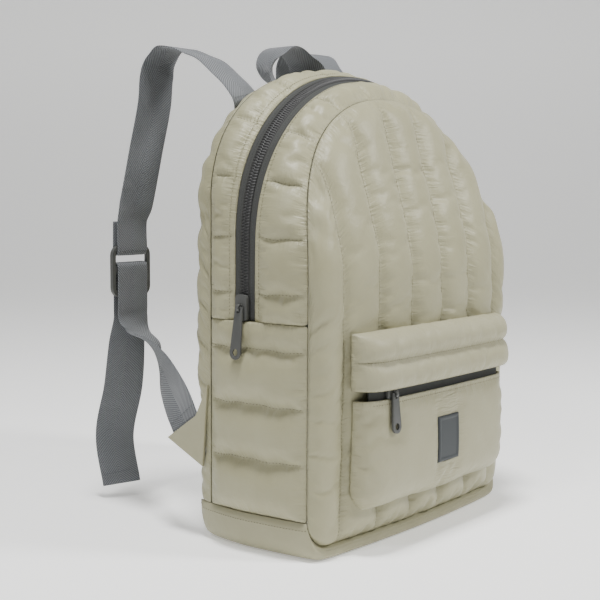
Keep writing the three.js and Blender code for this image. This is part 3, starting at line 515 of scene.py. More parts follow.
# Stations along the shell: the ends, every quilt line between, and even steps; marks the quilt lines
def quiltStations(start, end, steps):
    channels = shellSizes["channels"]
    lines = np.arange(1, channels) / channels
    lines = lines[(lines > start + 0.2 / channels) & (lines < end - 0.2 / channels)]
    stops = np.concatenate([[start], lines, [end]])
    parts = [np.linspace(a, b, max(2, round(steps * (b - a) * channels)) + 1)[:-1]
             for a, b in zip(stops, stops[1:])]
    stations = np.concatenate([*parts, [end]])
    onLine = np.isin(stations, lines)
    return stations, onLine


gussetLook = {
    "steps": 13, "crown": 7.5, "valley": 0.1, "startPuff": 0.5, "weltRise": 1.6, "waver": 1.1, "wall": 2.4,
    "growth": (0.10, 0.05, 0.10), "pressure": 7.0, "cap": 10.0, "columnStep": 4.0,
}
stitchRoutes = {"shell": [], "webbing": []}   # each entry: route, normals, pitch and thickness in mm


# Wavering of a stitch line, as the thread draws the cloth up: two sines of unlike length, in millimetres
def waver(distance, size, phase):
    return size * (0.6 * np.sin(distance / 9.0 + phase) + 0.4 * np.sin(distance / 4.1 + 2.3 * phase))


def gussetStrip(name, stations, onLine, shares, edges, weltColumns, material):
    look = gussetLook
    start, end = edges(stations)
    offset = start[:, None] + (end - start)[:, None] * shares[None, :]
    along = np.broadcast_to(stations[:, None], offset.shape)
    seams = 1 - (2 * shares[None, :] - 1) ** 4
    channel = channelRise((1 - np.abs(2 * along - 1)) * shellSizes["channels"] / 2)
    lift = look["crown"] * seams * (look["valley"] + (1 - look["valley"]) * look["startPuff"] * channel)
    distance = np.cumsum(np.full(len(shares), look["columnStep"]))
    sway = np.zeros_like(offset)
    for count, row in enumerate(np.flatnonzero(onLine)):
        sway[row] = waver(distance, look["waver"], count) * (seams[0] > 0)
    normal = shellNormal(along, offset)
    base = shellPoint(along, offset)
    ahead, behind = [shellPoint(np.clip(along + step, 0, 1), offset) for step in (0.002, -0.002)]
    run = unit(ahead - behind)
    pinned = np.zeros(offset.shape, bool)
    pinned[[0, -1]] = True
    pinned[:, [0, -1]] = True
    pinned[onLine] = True
    for column in weltColumns:
        lift[:, column] = np.minimum(lift[:, column], look["weltRise"])
        pinned[:, column] = True
    rest = (base + normal * lift[..., None] + run * sway[..., None]) * mm
    inner = (base - normal * look["wall"]) * mm
    outer = puff(name, rest, inner, pinned, look["growth"], look["pressure"], look["cap"])
    piece = closedSheet(name, outer, inner, material, pinned=pinned)
    for row in np.flatnonzero(onLine):
        stitchRoutes["shell"].append((rest[row, 1:-1], normal[row, 1:-1], 3.4, 0.55))
    for column in weltColumns:
        stitchRoutes["shell"].append((rest[1:-1, column], normal[1:-1, column], 3.0, 0.6))
    return piece


# Edges of the gusset's strips, as distances from the zip line: negative ones lie towards the front seam
def frontEdge(along):
    return shellSizes["seamGap"] - np.linalg.norm(zipRim(along) - frontRim(along), axis=-1)


def rearEdge(along):
    return np.linalg.norm(zipRim(along) - rearRim(along), axis=-1) - shellSizes["seamGap"]


def addGusset(material):
    sizes = shellSizes
    zipEnd = heightToAlong(sizes["zipEnd"])
    footGap = heightToAlong(sizes["baseSeam"] + sizes["seamGap"])
    stations, onLine = quiltStations(zipEnd + footGap, 1 - zipEnd - footGap, gussetLook["steps"])
    frontShares = np.concatenate([np.linspace(0, 0.86, 12), [0.9, 0.95, 1.0]])
    rearShares = np.concatenate([[0, 0.08, 0.17], np.linspace(0.28, 1, 6)])
    tape = sizes["tapeEdge"]
    pieces = {
        "gusset_front_arch": gussetStrip(
            "frontArch", stations, onLine, frontShares,
            lambda along: (frontEdge(along), np.full_like(along, -tape)), [12], material),
        "gusset_rear_arch": gussetStrip(
            "rearArch", stations, onLine, rearShares,
            lambda along: (np.full_like(along, tape), rearEdge(along)), [2], material),
    }
    climbs, onSideLine = quiltStations(footGap, zipEnd - footGap, gussetLook["steps"])
    for node, mirror in (("side_panel_left", False), ("side_panel_right", True)):
        sideStations = 1 - climbs if mirror else climbs
        pieces[node] = gussetStrip(
            "sideRight" if mirror else "sideLeft", sideStations, onSideLine, np.linspace(0, 1, 27),
            lambda along: (frontEdge(along), rearEdge(along)), [], material)
    for node, piece in pieces.items():
        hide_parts(node)
        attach(piece, "bag")
    print("gusset and sides quilted")


panelLook = {
    "quiltPitch": 48.0, "lines": 6, "bulge": 17.0, "puff": 5.5, "edgeRound": 26.0, "edgeThickness": 1.4,
    "startPuff": 0.4, "growth": (0.10, 0.07, 0.05), "pressure": 6.5, "cap": 8.0, "wall": 4.0, "rowsHigh": 96,
}


def frontFoot(x):
    radius = shellSizes["baseSeam"] - shellSizes["bottomSeam"]
    run = np.maximum(0, np.abs(x) - (shellSizes["front"][0] - radius))
    return shellSizes["baseSeam"] - np.sqrt(np.maximum(0, radius ** 2 - run ** 2))


def frontBulgeAt(x, up):
    belly = 0.62 + 0.38 * np.sin(math.pi * np.minimum(1, up * 0.92) ** 0.9)
    return panelLook["bulge"] * belly * (1 - 0.28 * (x / shellSizes["front"][0]) ** 2)


# Front panel: it rolls back to the seam on a quarter circle, bulges lowest down, dips at each quilt line
def frontPanelPlace(x, z, puffShare):
    look = panelLook
    top, foot = archHeight(shellSizes["front"], x), frontFoot(x)
    inward = np.minimum(np.minimum(shellSizes["front"][0] - np.abs(x), (top - z) * 0.8), (z - foot) * 1.6)
    roll = np.sqrt(1 - (1 - np.clip(inward / look["edgeRound"], 0, 1)) ** 2)
    channel = channelRise(np.abs(x) / look["quiltPitch"] + 0.5)
    depth = frontBulgeAt(x, np.clip((z - foot) / (top - foot), 0, 1)) + look["puff"] * puffShare * channel
    return frontSeamPlace(x, z) - np.maximum(look["edgeThickness"], roll * depth)


def addFrontPanel(material):
    look = panelLook
    half = shellSizes["front"][0]
    span = (look["lines"] - 1) / 2 * look["quiltPitch"]
    lines = np.linspace(-span, span, look["lines"])
    middle = np.concatenate([np.linspace(a, b, 13)[:-1] for a, b in zip(lines, lines[1:])] + [[span]])
    flank = span + (half - span) * np.sin(np.linspace(0, math.pi / 2, 13)[1:])
    columns = np.concatenate([-flank[::-1], middle, flank])
    rows = np.linspace(0, 1, look["rowsHigh"])
    up, x = np.meshgrid(rows, columns, indexing="ij")
    onLine = np.isin(columns, lines)
    foot, top = frontFoot(x), archHeight(shellSizes["front"], x)
    z = foot + (top - foot) * up
    shift = np.zeros_like(x)
    shift[:, onLine] = np.stack([waver(z[:, 0], 0.9, 1.7 * k) for k in range(onLine.sum())], axis=1)
    shift *= np.minimum(1, np.minimum(up, 1 - up) * 12)
    y = frontPanelPlace(x, z, look["startPuff"])
    rest = np.stack([x + shift, y, z], axis=2) * mm
    wall = np.minimum(frontSeamPlace(x, z) - 0.3, y + look["wall"])
    inner = np.stack([x, wall, z], axis=2) * mm
    pinned = np.zeros(x.shape, bool)
    pinned[[0, -1]] = True
    pinned[:, [0, -1]] = True
    pinned[:, onLine] = True
    outer = puff("frontPanel", rest, inner, pinned, look["growth"], look["pressure"], look["cap"])
    piece = closedSheet("frontPanel", outer, inner, material, pinned=pinned)
    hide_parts("front_panel")
    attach(piece, "bag")
    facing = np.broadcast_to((0.0, -1.0, 0.0), rest[:, 0].shape)
    for column in np.flatnonzero(onLine):
        stitchRoutes["shell"].append((rest[2:-2, column], facing[2:-2], 3.2, 0.55))
    print("front panel quilted")


backLook = {
    "bulge": 25.0, "edgeRound": 10.0, "edgeThickness": 1.4, "wall": 5.0, "footGap": 0.3, "channelPitch": 47.5,
    "slack": 0.45, "footFill": 0.23, "footReach": 0.25,
    "growth": (0.03, 0.04, 0.09), "pressure": 8.0, "cap": 9.0,
}


# Back panel: a boxy edge of quarter circles, fullest a third of the way up, flush with the base at its foot
def backPanelPlace(x, z):
    look = backLook
    half, _, apex, _ = shellSizes["rear"]
    foot = shellSizes["baseSeam"] + look["footGap"]
    top = archHeight(shellSizes["rear"], x)
    inward = np.minimum(half - np.abs(x), (top - z) * 0.8)
    roll = np.sqrt(1 - (1 - np.clip(inward / look["edgeRound"], 0, 1)) ** 2)
    up = np.clip((z - foot) / (apex - foot), 0, 1)
    belly = look["slack"] + (1 - look["slack"]) * np.sin(math.pi * up ** 0.75)
    belly += look["footFill"] * (1 - np.clip(up / look["footReach"], 0, 1)) ** 2
    return shellSizes["rearSetback"] + np.maximum(look["edgeThickness"], roll * look["bulge"] * belly)


def addBackPanel(material):
    look = backLook
    half = shellSizes["rear"][0]
    foot = shellSizes["baseSeam"] + look["footGap"]
    flank = half - look["edgeRound"] * 1.2 * (1 - np.sin(np.linspace(0, math.pi / 2, 8)))
    inside = half - look["edgeRound"] * 1.2
    columns = np.concatenate([-flank[::-1], np.linspace(-inside, inside, 65)[1:-1], flank])
    low = 0.03 * (1 - np.cos(np.linspace(0, math.pi / 2, 6)))
    high = 1 - 0.05 * (1 - np.sin(np.linspace(0, math.pi / 2, 7)))
    rows = np.concatenate([low, np.linspace(0.03, 0.95, 84)[1:-1], high])
    up, x = np.meshgrid(rows, columns, indexing="ij")
    z = foot + (archHeight(shellSizes["rear"], x) - foot) * up
    place = backPanelPlace(x, z)
    heights = z[:, len(columns) // 2]
    lineHeights = foot + look["channelPitch"] * np.arange(1, 8)
    lineRows = np.unique([np.argmin(np.abs(heights - h)) for h in lineHeights])
    rest = np.stack([x, place, z], axis=2) * mm
    inner = np.stack([x, np.maximum(shellSizes["rearSetback"] + 0.3, place - look["wall"]), z], axis=2) * mm
    pinned = np.zeros(x.shape, bool)
    pinned[[0, -1]] = True
    pinned[:, [0, -1]] = True
    pinned[lineRows] = True
    outer = puff("backPanel", rest, inner, pinned, look["growth"], look["pressure"], look["cap"])
    piece = closedSheet("backPanel", outer, inner, material, pinned=pinned)
    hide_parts("back_panel")
    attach(piece, "bag")
    facing = np.broadcast_to((0.0, 1.0, 0.0), rest[0].shape)
    for row in lineRows:
        stitchRoutes["shell"].append((rest[row, 3:-3], facing[3:-3], 3.2, 0.55))
    print("back panel quilted")


# Base: rows from front to back, as shares of the depth, of the seam heights and of the wall
baseRows = [
    # across, forward, rise, squareness, wall share, inset
    (0.0, 0.0, 1.0, 2.0, 0.35, 1), (0.0, 0.8, 0.72, 2.5, 0.4, 1), (0.0, 1.0, 0.36, 3.2, 0.6, 1),
    (0.02, 0.85, 0.04, 4.0, 0.9, 1), (0.1, 0.3, 0.0, 4.0, 1.0, 0), (0.35, 0.0, 0.0, 4.0, 1.0, 0),
    (0.64, 0.0, 0.0, 4.0, 1.0, 0), (0.88, 0.0, 0.0, 4.0, 1.0, 0), (0.965, 0.0, 0.14, 4.0, 1.0, 0),
    (0.995, 0.0, 0.8, 4.0, 1.0, -1), (1.0, 0.0, 1.7, 3.0, 1.0, -1), (1.0, 0.0, 2.8, 2.0, 1.0, -1),
]
baseLook = {"forward": 9.0, "rearSetback": 71.0, "wall": 3.0, "crown": 2.45, "rearRound": 4.0, "rowSteps": 4}


def baseHalfWidth(place):
    sizes = shellSizes
    front, middle, rear = sizes["front"][0], sizes["zip"][0], sizes["rear"][0]
    across = np.clip((place + sizes["frontDepth"]) / (sizes["rearSetback"] + sizes["frontDepth"]), 0, 1)
    seams = [-sizes["frontDepth"], sizes["zipSetback"], sizes["rearSetback"]]
    plain = np.interp(place, seams, [front, middle, rear])
    rounded = np.clip((place - sizes["rearSetback"]) / (baseLook["rearSetback"] - sizes["rearSetback"]), 0, 1)
    return plain + baseLook["crown"] * (1 - (2 * across - 1) ** 4) - baseLook["rearRound"] * rounded ** 2


# Each row of the base runs down a quarter of a superellipse at either side and is flat between
def baseSkin(layer, rows, turn, reach):
    sizes = shellSizes
    across, forward, rise, square, wallShare, inset = [rows[:, k][:, None] for k in range(6)]
    depth = layer * baseLook["wall"] * wallShare
    rim = sizes["baseSeam"] - sizes["seamGap"]
    climb = np.maximum(0, rim - sizes["bottomSeam"] * rise - depth)
    angle = math.pi / 2 * turn[None, :]
    turnIn = 1 - np.maximum(np.cos(angle), 0) ** (2 / square)
    turnDown = np.sin(angle) ** (2 / square)
    middle = -sizes["frontDepth"] + (baseLook["rearSetback"] + sizes["frontDepth"]) * across
    corner = sizes["baseSeam"] - sizes["bottomSeam"] - sizes["seamGap"]
    x = reach[None, :] * (baseHalfWidth(middle) - depth - corner * turnIn)
    z = rim - climb * turnDown
    front = frontSeamPlace(x, z) - baseLook["forward"] * forward * turnDown
    y = front + (baseLook["rearSetback"] - front) * across + depth * inset
    return np.stack([x, y, z], axis=2) * mm


def addBase(material):
    rows = np.array(baseRows)
    steps = baseLook["rowSteps"]
    place = np.linspace(0, len(rows) - 1, (len(rows) - 1) * steps + 1)
    fine = np.stack([np.interp(place, np.arange(len(rows)), rows[:, k]) for k in range(6)], axis=1)
    # A running mean over one step rounds the corners between the rows, with the two end rows kept
    padded = np.concatenate([fine[:1], fine, fine[-1:]])
    fine[1:-1] = ((padded[:-2] + 2 * padded[1:-1] + padded[2:]) / 4)[1:-1]
    quarter = np.linspace(0, 1, 9)
    turn = np.concatenate([quarter, np.ones(17), quarter[::-1]])
    reach = np.concatenate([-np.ones(9), np.linspace(-1, 1, 19)[1:-1], np.ones(9)])
    piece = closedSheet("basePanel", baseSkin(0, fine, turn, reach), baseSkin(1, fine, turn, reach), material)
    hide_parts("base_panel")
    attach(piece, "bag")
    # Topstitching a little under the seam, along both sides
    rest = baseSkin(0, fine, turn, reach)
    for edge, inside, side in ((0, 1, -1.0), (-1, -2, 1.0)):
        route = rest[3:-3, edge] + 0.45 * (rest[3:-3, inside] - rest[3:-3, edge])
        stitchRoutes["shell"].append((route, np.broadcast_to((side, 0.0, 0.0), route.shape), 3.0, 0.6))
    print("base laid")


pocketLook = {
    "half": 114, "foot": 39, "top": 192, "depth": 20, "wall": 2.4, "mouth": 135, "lip": 144,
    "hoodDepth": 23, "hoodWall": 5.0, "hoodOverhang": 3, "squash": 0.12, "mouthSlack": 0.12, "sag": 3.0,
    "bodyGrowth": (0.03, 0.04, 0.05), "bodyPressure": 3.0, "bodyCap": 3.0, "tapeWall": 1.5, "tapeClear": 3,
    "hoodGrowth": (0.05, 0.1, 0.1), "hoodPressure": 9.0, "hoodCap": 5.0,
    "pullAcross": -82, "pullFoot": 100,
    "labelHalf": (17, 21), "labelCentre": 89,
}


# The plain surface that the pocket lies on: the front panel without its quilt dips, 0.6 mm proud
def pocketGround(x, z):
    top, foot = archHeight(shellSizes["front"], x), frontFoot(x)
    inward = np.minimum(shellSizes["front"][0] - np.abs(x), (z - foot) * 1.6)
    roll = np.sqrt(1 - (1 - np.clip(inward / panelLook["edgeRound"], 0, 1)) ** 2)
    depth = frontBulgeAt(x, np.clip((z - foot) / (top - foot), 0, 1)) + panelLook["puff"]
    return frontSeamPlace(x, z) - roll * depth - 0.6


# Walls of the pocket: 1 - |share| ** 14 under a root at the sides, the same to the 10 at the foot
def sideRise(share):
    return np.sqrt(np.maximum(0, 1 - np.abs(share) ** 14))


def footRise(up):
    return np.sqrt(np.maximum(0, 1 - (1 - up) ** 10))


def pocketColumns():
    flat = np.linspace(0, 0.93, 27)
    fall = (1 - np.linspace(sideRise(0.93), 0, 7)[1:] ** 2) ** (1 / 14)
    half = np.concatenate([flat, fall])
    return np.concatenate([-half[:0:-1], half])


def pocketSkin(inset, up, across):
    look = pocketLook
    corner = 1 - look["squash"] * (1 - np.clip(up * 5, 0, 1)) ** 2
    x = across * (look["half"] - inset) * corner
    z = look["foot"] + inset + (look["mouth"] - look["foot"] - inset) * up
    # The load in the pocket makes it fullest at a third of its height
    sag = look["sag"] / look["depth"] * np.sin(math.pi * np.clip(up, 0, 1) ** 0.62)
    full = 1 - look["mouthSlack"] * up ** 2 + sag
    depth = (look["depth"] - inset) * sideRise(across) * footRise(up) * full
    return np.stack([x, pocketGround(x, z) - depth, z], axis=-1) * mm


def addPocketBody(material):
    look = pocketLook
    rise = 1 - (1 - np.linspace(0, 0.8, 6) ** 2) ** 0.1
    rows = np.concatenate([rise, np.linspace(rise[-1], 1, 24)[1:]])
    up, across = np.meshgrid(rows, pocketColumns(), indexing="ij")
    rest, inner = pocketSkin(0, up, across), pocketSkin(look["wall"], up, across)
    pinned = np.zeros(up.shape, bool)
    pinned[[0, -1]] = True
    pinned[:, [0, -1]] = True
    pinned[-2] = True
    nearLabel = (np.abs(rest[..., 0] / mm) < look["labelHalf"][0] + 2) \
        & (np.abs(rest[..., 2] / mm - look["labelCentre"]) < look["labelHalf"][1] + 2)
    # Flat under the pull as well, so that it hangs free in front of the cloth
    nearPull = (np.abs(rest[..., 0] / mm - look["pullAcross"]) < 10) & (rest[..., 2] / mm > look["pullFoot"])
    pinned |= nearLabel | nearPull
    # The corners of the gathered side walls are tacked down as well
    pinned[:, [6, -7]] |= (np.arange(len(rows)) % 5 == 0)[:, None]
    outer = puff("pocketBody", rest, inner, pinned, look["bodyGrowth"], look["bodyPressure"], look["bodyCap"])
    piece = closedSheet("pocketBody", outer, inner, material, pinned=pinned)
    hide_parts("pocket_body")
    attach(piece, "bag")
    facing = np.broadcast_to((0.0, -1.0, 0.0), rest[0].shape)
    stitchRoutes["shell"].append((rest[-2, 6:-6], facing[6:-6], 3.0, 0.6))
    print("pocket sewn")


hoodProfile = [
    # drop and out: two channels of the hood between its top seam, its middle line and its lip
    (0.0, 0.0), (0.004, 0.2), (0.015, 0.4), (0.04, 0.58), (0.08, 0.72), (0.16, 0.88),
    (0.26, 0.96), (0.36, 0.95), (0.44, 0.89), (0.5, 0.8), (0.56, 0.9), (0.64, 1.0),
    (0.76, 1.06), (0.88, 1.06), (0.95, 1.03), (1.0, 0.98),
]


def hoodSkin(inset, drop, out, across):
    look = pocketLook
    x = across * (look["half"] + look["hoodOverhang"] - inset)
    z = look["top"] - inset * (1 - drop) + (look["lip"] - look["top"] + inset * (1 - drop)) * drop
    depth = np.maximum(0, look["hoodDepth"] * out - inset) * sideRise(across)
    return np.stack([x, pocketGround(x, z) - depth, z], axis=-1) * mm


def addPocketHood(material):
    look = pocketLook
    profile = np.array(hoodProfile)
    drop, across = np.meshgrid(profile[:, 0], pocketColumns(), indexing="ij")
    out = np.broadcast_to(profile[:, 1][:, None], drop.shape)
    rest, inner = hoodSkin(0, drop, out, across), hoodSkin(look["hoodWall"], drop, out, across)
    middle = int(np.argmin(np.abs(profile[:, 0] - 0.5)))
    pinned = np.zeros(drop.shape, bool)
    pinned[[0, middle, -1]] = True
    pinned[:, [0, -1]] = True
    outer = puff("pocketHood", rest, inner, pinned, look["hoodGrowth"], look["hoodPressure"], look["hoodCap"])
    piece = closedSheet("pocketHood", outer, inner, material, pinned=pinned)
    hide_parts("pocket_hood")
    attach(piece, "bag")
    facing = np.broadcast_to((0.0, -1.0, 0.0), rest[0].shape)
    for row in (middle, len(profile) - 1):
        stitchRoutes["shell"].append((rest[row, 5:-5], facing[5:-5], 3.0, 0.6))
    print("hood sewn")


def addPocketTape(material):
    look = pocketLook
    heights = np.linspace(look["mouth"] - 5, look["lip"] + 4, 8)
    shares = 0.95 * pocketColumns()
    z, share = np.meshgrid(heights, shares, indexing="ij")
    x = share * (look["half"] - look["tapeClear"])
    depth = (look["depth"] - look["tapeClear"]) * (1 - look["mouthSlack"]) * sideRise(share) - 0.6
    outer = np.stack([x, pocketGround(x, z) - depth, z], axis=2) * mm
    inner = outer + np.array([0, look["tapeWall"], 0]) * mm
    piece = closedSheet("pocketZipTape", outer, inner, material, 0)
    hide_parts("pocket_zip_tape")
    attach(piece, "bag")


labelLook = {"thickness": 1.6, "border": 2.0, "borderRise": 0.7, "corner": 2.5}


# Label: flat inside, a raised border of a half sine along its edge
def addLabel(material):
    look = labelLook
    halfWide, halfHigh = pocketLook["labelHalf"]
    x, lift = np.meshgrid(np.linspace(-halfWide, halfWide, 52), np.linspace(-halfHigh, halfHigh, 64))
    z = pocketLook["labelCentre"] + lift
    inward = np.minimum(halfWide - np.abs(x), halfHigh - np.abs(lift))
    rise = np.sin(math.pi * np.clip(inward / 2 / look["border"], 0, 1))
    edge = np.sqrt(1 - (1 - np.clip(inward / 0.6, 0, 1)) ** 2)
    height = 0.3 + look["thickness"] * (0.4 + 0.6 * edge) - 0.5 + look["borderRise"] * rise
    up = (z - pocketLook["foot"]) / (pocketLook["mouth"] - pocketLook["foot"])
    surface = pocketSkin(0, up, x / pocketLook["half"])
    outer, inner = surface.copy(), surface.copy()
    outer[..., 1] -= height * mm
    inner[..., 1] -= 0.15 * mm
    piece = closedSheet("labelPatch", outer, inner, material, 0)
    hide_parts("label_patch")
    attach(piece, "bag")
    print("label set")


zipLook = {
    "tapeHalf": 10.7, "tapeLift": -0.6, "tapeWall": 1.5, "coilHalf": 4.5, "coilPitch": 2.6, "coilRise": 2.0,
    "coilSink": 0.25, "stitchOffset": 7.2,
}


# The zip lies flat in its slot: on the chord between the slot's two edges, lifted along the shell's normal
def zipSurface(along, offset, lift):
    half = zipLook["tapeHalf"]
    low, high = [shellPoint(along, np.full_like(along, edge))[:, None] for edge in (-half, half)]
    share = (offset / half + 1)[..., None] / 2
    normal = shellNormal(along, 0 * along)[:, None]
    return (low + (high - low) * share + normal * lift[..., None]) * mm


def addMainZip(tapeMaterial, coilMaterial):
    look = zipLook
    start = heightToAlong(shellSizes["zipEnd"]) + heightToAlong(shellSizes["baseSeam"] + 0.3)
    along = np.linspace(start, 1 - start, 260)
    offset = np.linspace(-look["tapeHalf"], look["tapeHalf"], 13)
    flat = np.zeros((len(along), len(offset)))
    tape = closedSheet("mainZipTape", zipSurface(along, offset, flat + look["tapeLift"]),
                       zipSurface(along, offset, flat + look["tapeLift"] - look["tapeWall"]), tapeMaterial, 0)
    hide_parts("main_zip_tape")
    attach(tape, "bag")
    # Coil: two rows of round loops, one half a pitch behind the other, that meet in the middle
    fine = np.linspace(start, 1 - start, 2600)
    length = np.concatenate([[0], np.cumsum(np.linalg.norm(np.diff(zipRim(fine), axis=0), axis=1))])
    across = np.linspace(-1, 1, 15)
    turn = 2 * math.pi * length[:, None] / look["coilPitch"]
    turn = turn + math.pi * (across[None, :] > 0) + 0.5 * across[None, :]
    loop = 0.5 + 0.5 * np.cos(turn)
    dome = np.sqrt(np.maximum(0, 1 - across ** 2))[None, :] ** 0.7
    groove = 1 - 0.35 * np.exp(-(across / 0.12) ** 2)[None, :]
    lift = -look["coilSink"] + look["coilRise"] * dome * groove * (0.45 + 0.55 * loop)
    outer = zipSurface(fine, across * look["coilHalf"], lift)
    inner = zipSurface(fine, across * look["coilHalf"], np.zeros_like(lift) - 0.3)
    coil = closedSheet("mainZipCoil", outer, inner, coilMaterial, 0)
    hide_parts("main_zip_coil")
    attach(coil, "bag")
    for offsetLine in (-look["stitchOffset"], look["stitchOffset"]):
        line = np.array([offsetLine])
        route = zipSurface(along, line, np.full((len(along), 1), look["tapeLift"] + 0.05))[:, 0]
        facing = shellNormal(along[:, None], np.full((len(along), 1), offsetLine))[:, 0]
        stitchRoutes["webbing"].append((route, facing, 2.6, 0.5))
    print("main zip set")


# Webbing rows: shares of the strap's spread, of its reach behind the rear seam and of its rise, then the
# direction of its width. A reach of 0 lays the webbing on the back panel
strapSizes = {
    "spread": 120, "reach": 140, "rise": 450, "lift": 5, "width": 38, "thickness": 1.8, "seatClear": 1.5,
}
leftUpperRows = [
    (0.733, 0, 0.811, 1, 0, 0), (0.767, 0, 0.858, 1, 0, 0),
    (0.792, 0.171, 0.887, 1, 0, 0), (0.775, 0.307, 0.918, 1, 0, 0),
    (0.758, 0.457, 0.949, 1, 0, 0), (0.767, 0.555, 0.961, 1, 0, 0),
    (0.807, 0.684, 0.976, 1, 0, 0), (0.832, 0.784, 0.976, 1, 0, 0),
    (0.848, 0.841, 0.956, 1, 0, 0), (0.880, 0.865, 0.921, 0.98, -0.17, 0),
    (0.890, 0.880, 0.863, 0.98, -0.17, 0), (0.942, 0.921, 0.763, 0.98, -0.17, 0),
    (1.003, 0.964, 0.652, 0.98, -0.17, 0),
]
rightUpperRows = [
    (0.733, 0, 0.811, 1, 0, 0), (0.725, 0, 0.858, 1, 0, 0),
    (0.667, 0.186, 0.898, 0.95, 0.3, 0), (0.600, 0.371, 0.947, 0.87, 0.5, 0),
    (0.667, 0.521, 0.989, 0.87, 0.5, 0), (0.708, 0.641, 1.001, 0.9, 0.4, 0),
    (0.717, 0.784, 1.004, 1, 0, 0), (0.708, 0.841, 0.981, 1, 0, 0),
    (0.717, 0.856, 0.939, 1, 0, 0), (0.790, 0.886, 0.861, 0.98, -0.17, 0),
    (0.889, 0.927, 0.755, 0.98, -0.17, 0), (0.982, 0.966, 0.655, 0.98, -0.17, 0),
]
# From the tail's hem up to the adjuster, and from its bar down to the side tab
lowerRows = [
    (0.967, 1.179, 0.024, 0.64, -0.77, 0), (0.983, 1.236, 0.131, 0.7, -0.7, 0),
    (1.000, 1.121, 0.249, 0.8, -0.6, 0), (1.038, 1.043, 0.350, 0.95, -0.3, 0),
    (1.030, 1.030, 0.406, 1, 0, 0), (1.030, 1.030, 0.426, 1, 0, 0),
    (1.030, 1.030, 0.483, 1, 0, 0),
]
returnRows = [
    (1.030, 0.984, 0.483, 1, 0, 0), (1.030, 0.984, 0.426, 1, 0, 0),
    (1.030, 0.984, 0.406, 1, 0, 0), (1.026, 0.940, 0.378, 0.95, 0.3, 0),
    (1.050, 0.800, 0.355, 0.77, 0.64, 0), (1.117, 0.636, 0.320, 0.5, 0.82, -0.2),
    (1.192, 0.479, 0.282, 0.2, 0.87, -0.45), (1.271, 0.307, 0.238, 0, 0.84, -0.54),
    (1.295, 0.214, 0.200, 0, 0.81, -0.58),
]
# Grab handle: shares of half its span, of its reach and of its rise, then the direction of its width
handleRows = [
    (-1.000, 0, -1.094, 1, 0, 0),
    (-1.000, 0, -0.750, 1, 0, 0),
    (-1.036, 0.295, -0.406, 0.98, 0.2, 0),
    (-1.071, 0.389, -0.094, 0.8, 0.6, 0),
    (-1.036, 0.463, 0.219, 0.45, 0.9, 0),
    (-0.893, 0.505, 0.531, 0.12, 1, 0),
    (-0.571, 0.526, 0.812, 0, 1, 0),
    (-0.179, 0.537, 0.969, 0, 1, 0),
    (0.179, 0.537, 0.969, 0, 1, 0),
    (0.571, 0.526, 0.812, 0, 1, 0),
    (0.893, 0.505, 0.531, -0.12, 1, 0),
    (1.036, 0.463, 0.219, -0.45, 0.9, 0),
    (1.071, 0.389, -0.094, -0.8, 0.6, 0),
    (1.036, 0.295, -0.406, -0.98, 0.2, 0),
    (1.000, 0, -0.750, -1, 0, 0),
    (1.000, 0, -1.094, -1, 0, 0),
]


# Centripetal Catmull-Rom curve through the points, as cubic Hermite pieces worked out all at once
def smoothPath(points, steps):
    ends = np.concatenate([[2 * points[0] - points[1]], points, [2 * points[-1] - points[-2]]])
    gaps = np.sqrt(np.maximum(np.linalg.norm(np.diff(ends, axis=0), axis=1), 1e-9))[:, None]
    p0, p1, p2, p3 = ends[:-3], ends[1:-2], ends[2:-1], ends[3:]
    g0, g1, g2 = gaps[:-2], gaps[1:-1], gaps[2:]
    start = ((p1 - p0) / g0 - (p2 - p0) / (g0 + g1) + (p2 - p1) / g1) * g1
    finish = ((p2 - p1) / g1 - (p3 - p1) / (g1 + g2) + (p3 - p2) / g2) * g1
    s = np.linspace(0, 1, steps, endpoint=False)[None, :, None]
    p1, p2, start, finish = p1[:, None], p2[:, None], start[:, None], finish[:, None]
    curve = (p1 * (2 * s ** 3 - 3 * s ** 2 + 1) + start * (s ** 3 - 2 * s ** 2 + s)
             + p2 * (3 * s ** 2 - 2 * s ** 3) + finish * (s ** 3 - s ** 2))
    return np.concatenate([curve.reshape(-1, 3), points[-1:]])


webbingShape = {"spacing": 2.0, "sectionPoints": 20, "squareness": 7.0}


# Webbing: a flat superellipse section carried along the path, with rounded selvedges
def webbing(name, centres, broads, width, thickness, material):
    rough = smoothPath(centres, 8)
    roughBroad = smoothPath(broads, 8)
    length = np.concatenate([[0], np.cumsum(np.linalg.norm(np.diff(rough, axis=0), axis=1))])
    stops = np.linspace(0, length[-1], int(length[-1] / webbingShape["spacing"]) + 1)
    path = np.stack([np.interp(stops, length, rough[:, k]) for k in range(3)], axis=1)
    broad = np.stack([np.interp(stops, length, roughBroad[:, k]) for k in range(3)], axis=1)
    run = unit(np.gradient(path, axis=0))
    broad = unit(broad - run * np.sum(broad * run, axis=1, keepdims=True))
    normal = np.cross(run, broad)
    turn = np.linspace(0, 2 * math.pi, webbingShape["sectionPoints"], endpoint=False)
    power = 2 / webbingShape["squareness"]
    u = width / 2 * np.sign(np.cos(turn)) * np.abs(np.cos(turn)) ** power
    w = thickness / 2 * np.sign(np.sin(turn)) * np.abs(np.sin(turn)) ** (2 / 2.6)
    ring = path[:, None] + broad[:, None] * u[None, :, None] + normal[:, None] * w[None, :, None]
    rings, around = ring.shape[:2]
    i, j = np.meshgrid(np.arange(rings - 1), np.arange(around), indexing="ij")
    after = (j + 1) % around
    here, beyond = i * around, (i + 1) * around
    faces = np.stack([here + j, here + after, beyond + after, beyond + j], axis=2)
    caps = [list(range(around))[::-1], [(rings - 1) * around + k for k in range(around)]]
    uv = np.stack(np.meshgrid(u, stops), axis=2)
    piece = makeMesh(name, ring * mm, faces.reshape(-1, 4).tolist() + caps, material, uv.reshape(-1, 2) * mm)
    turnOutwards(piece)
    return piece, path, broad, normal


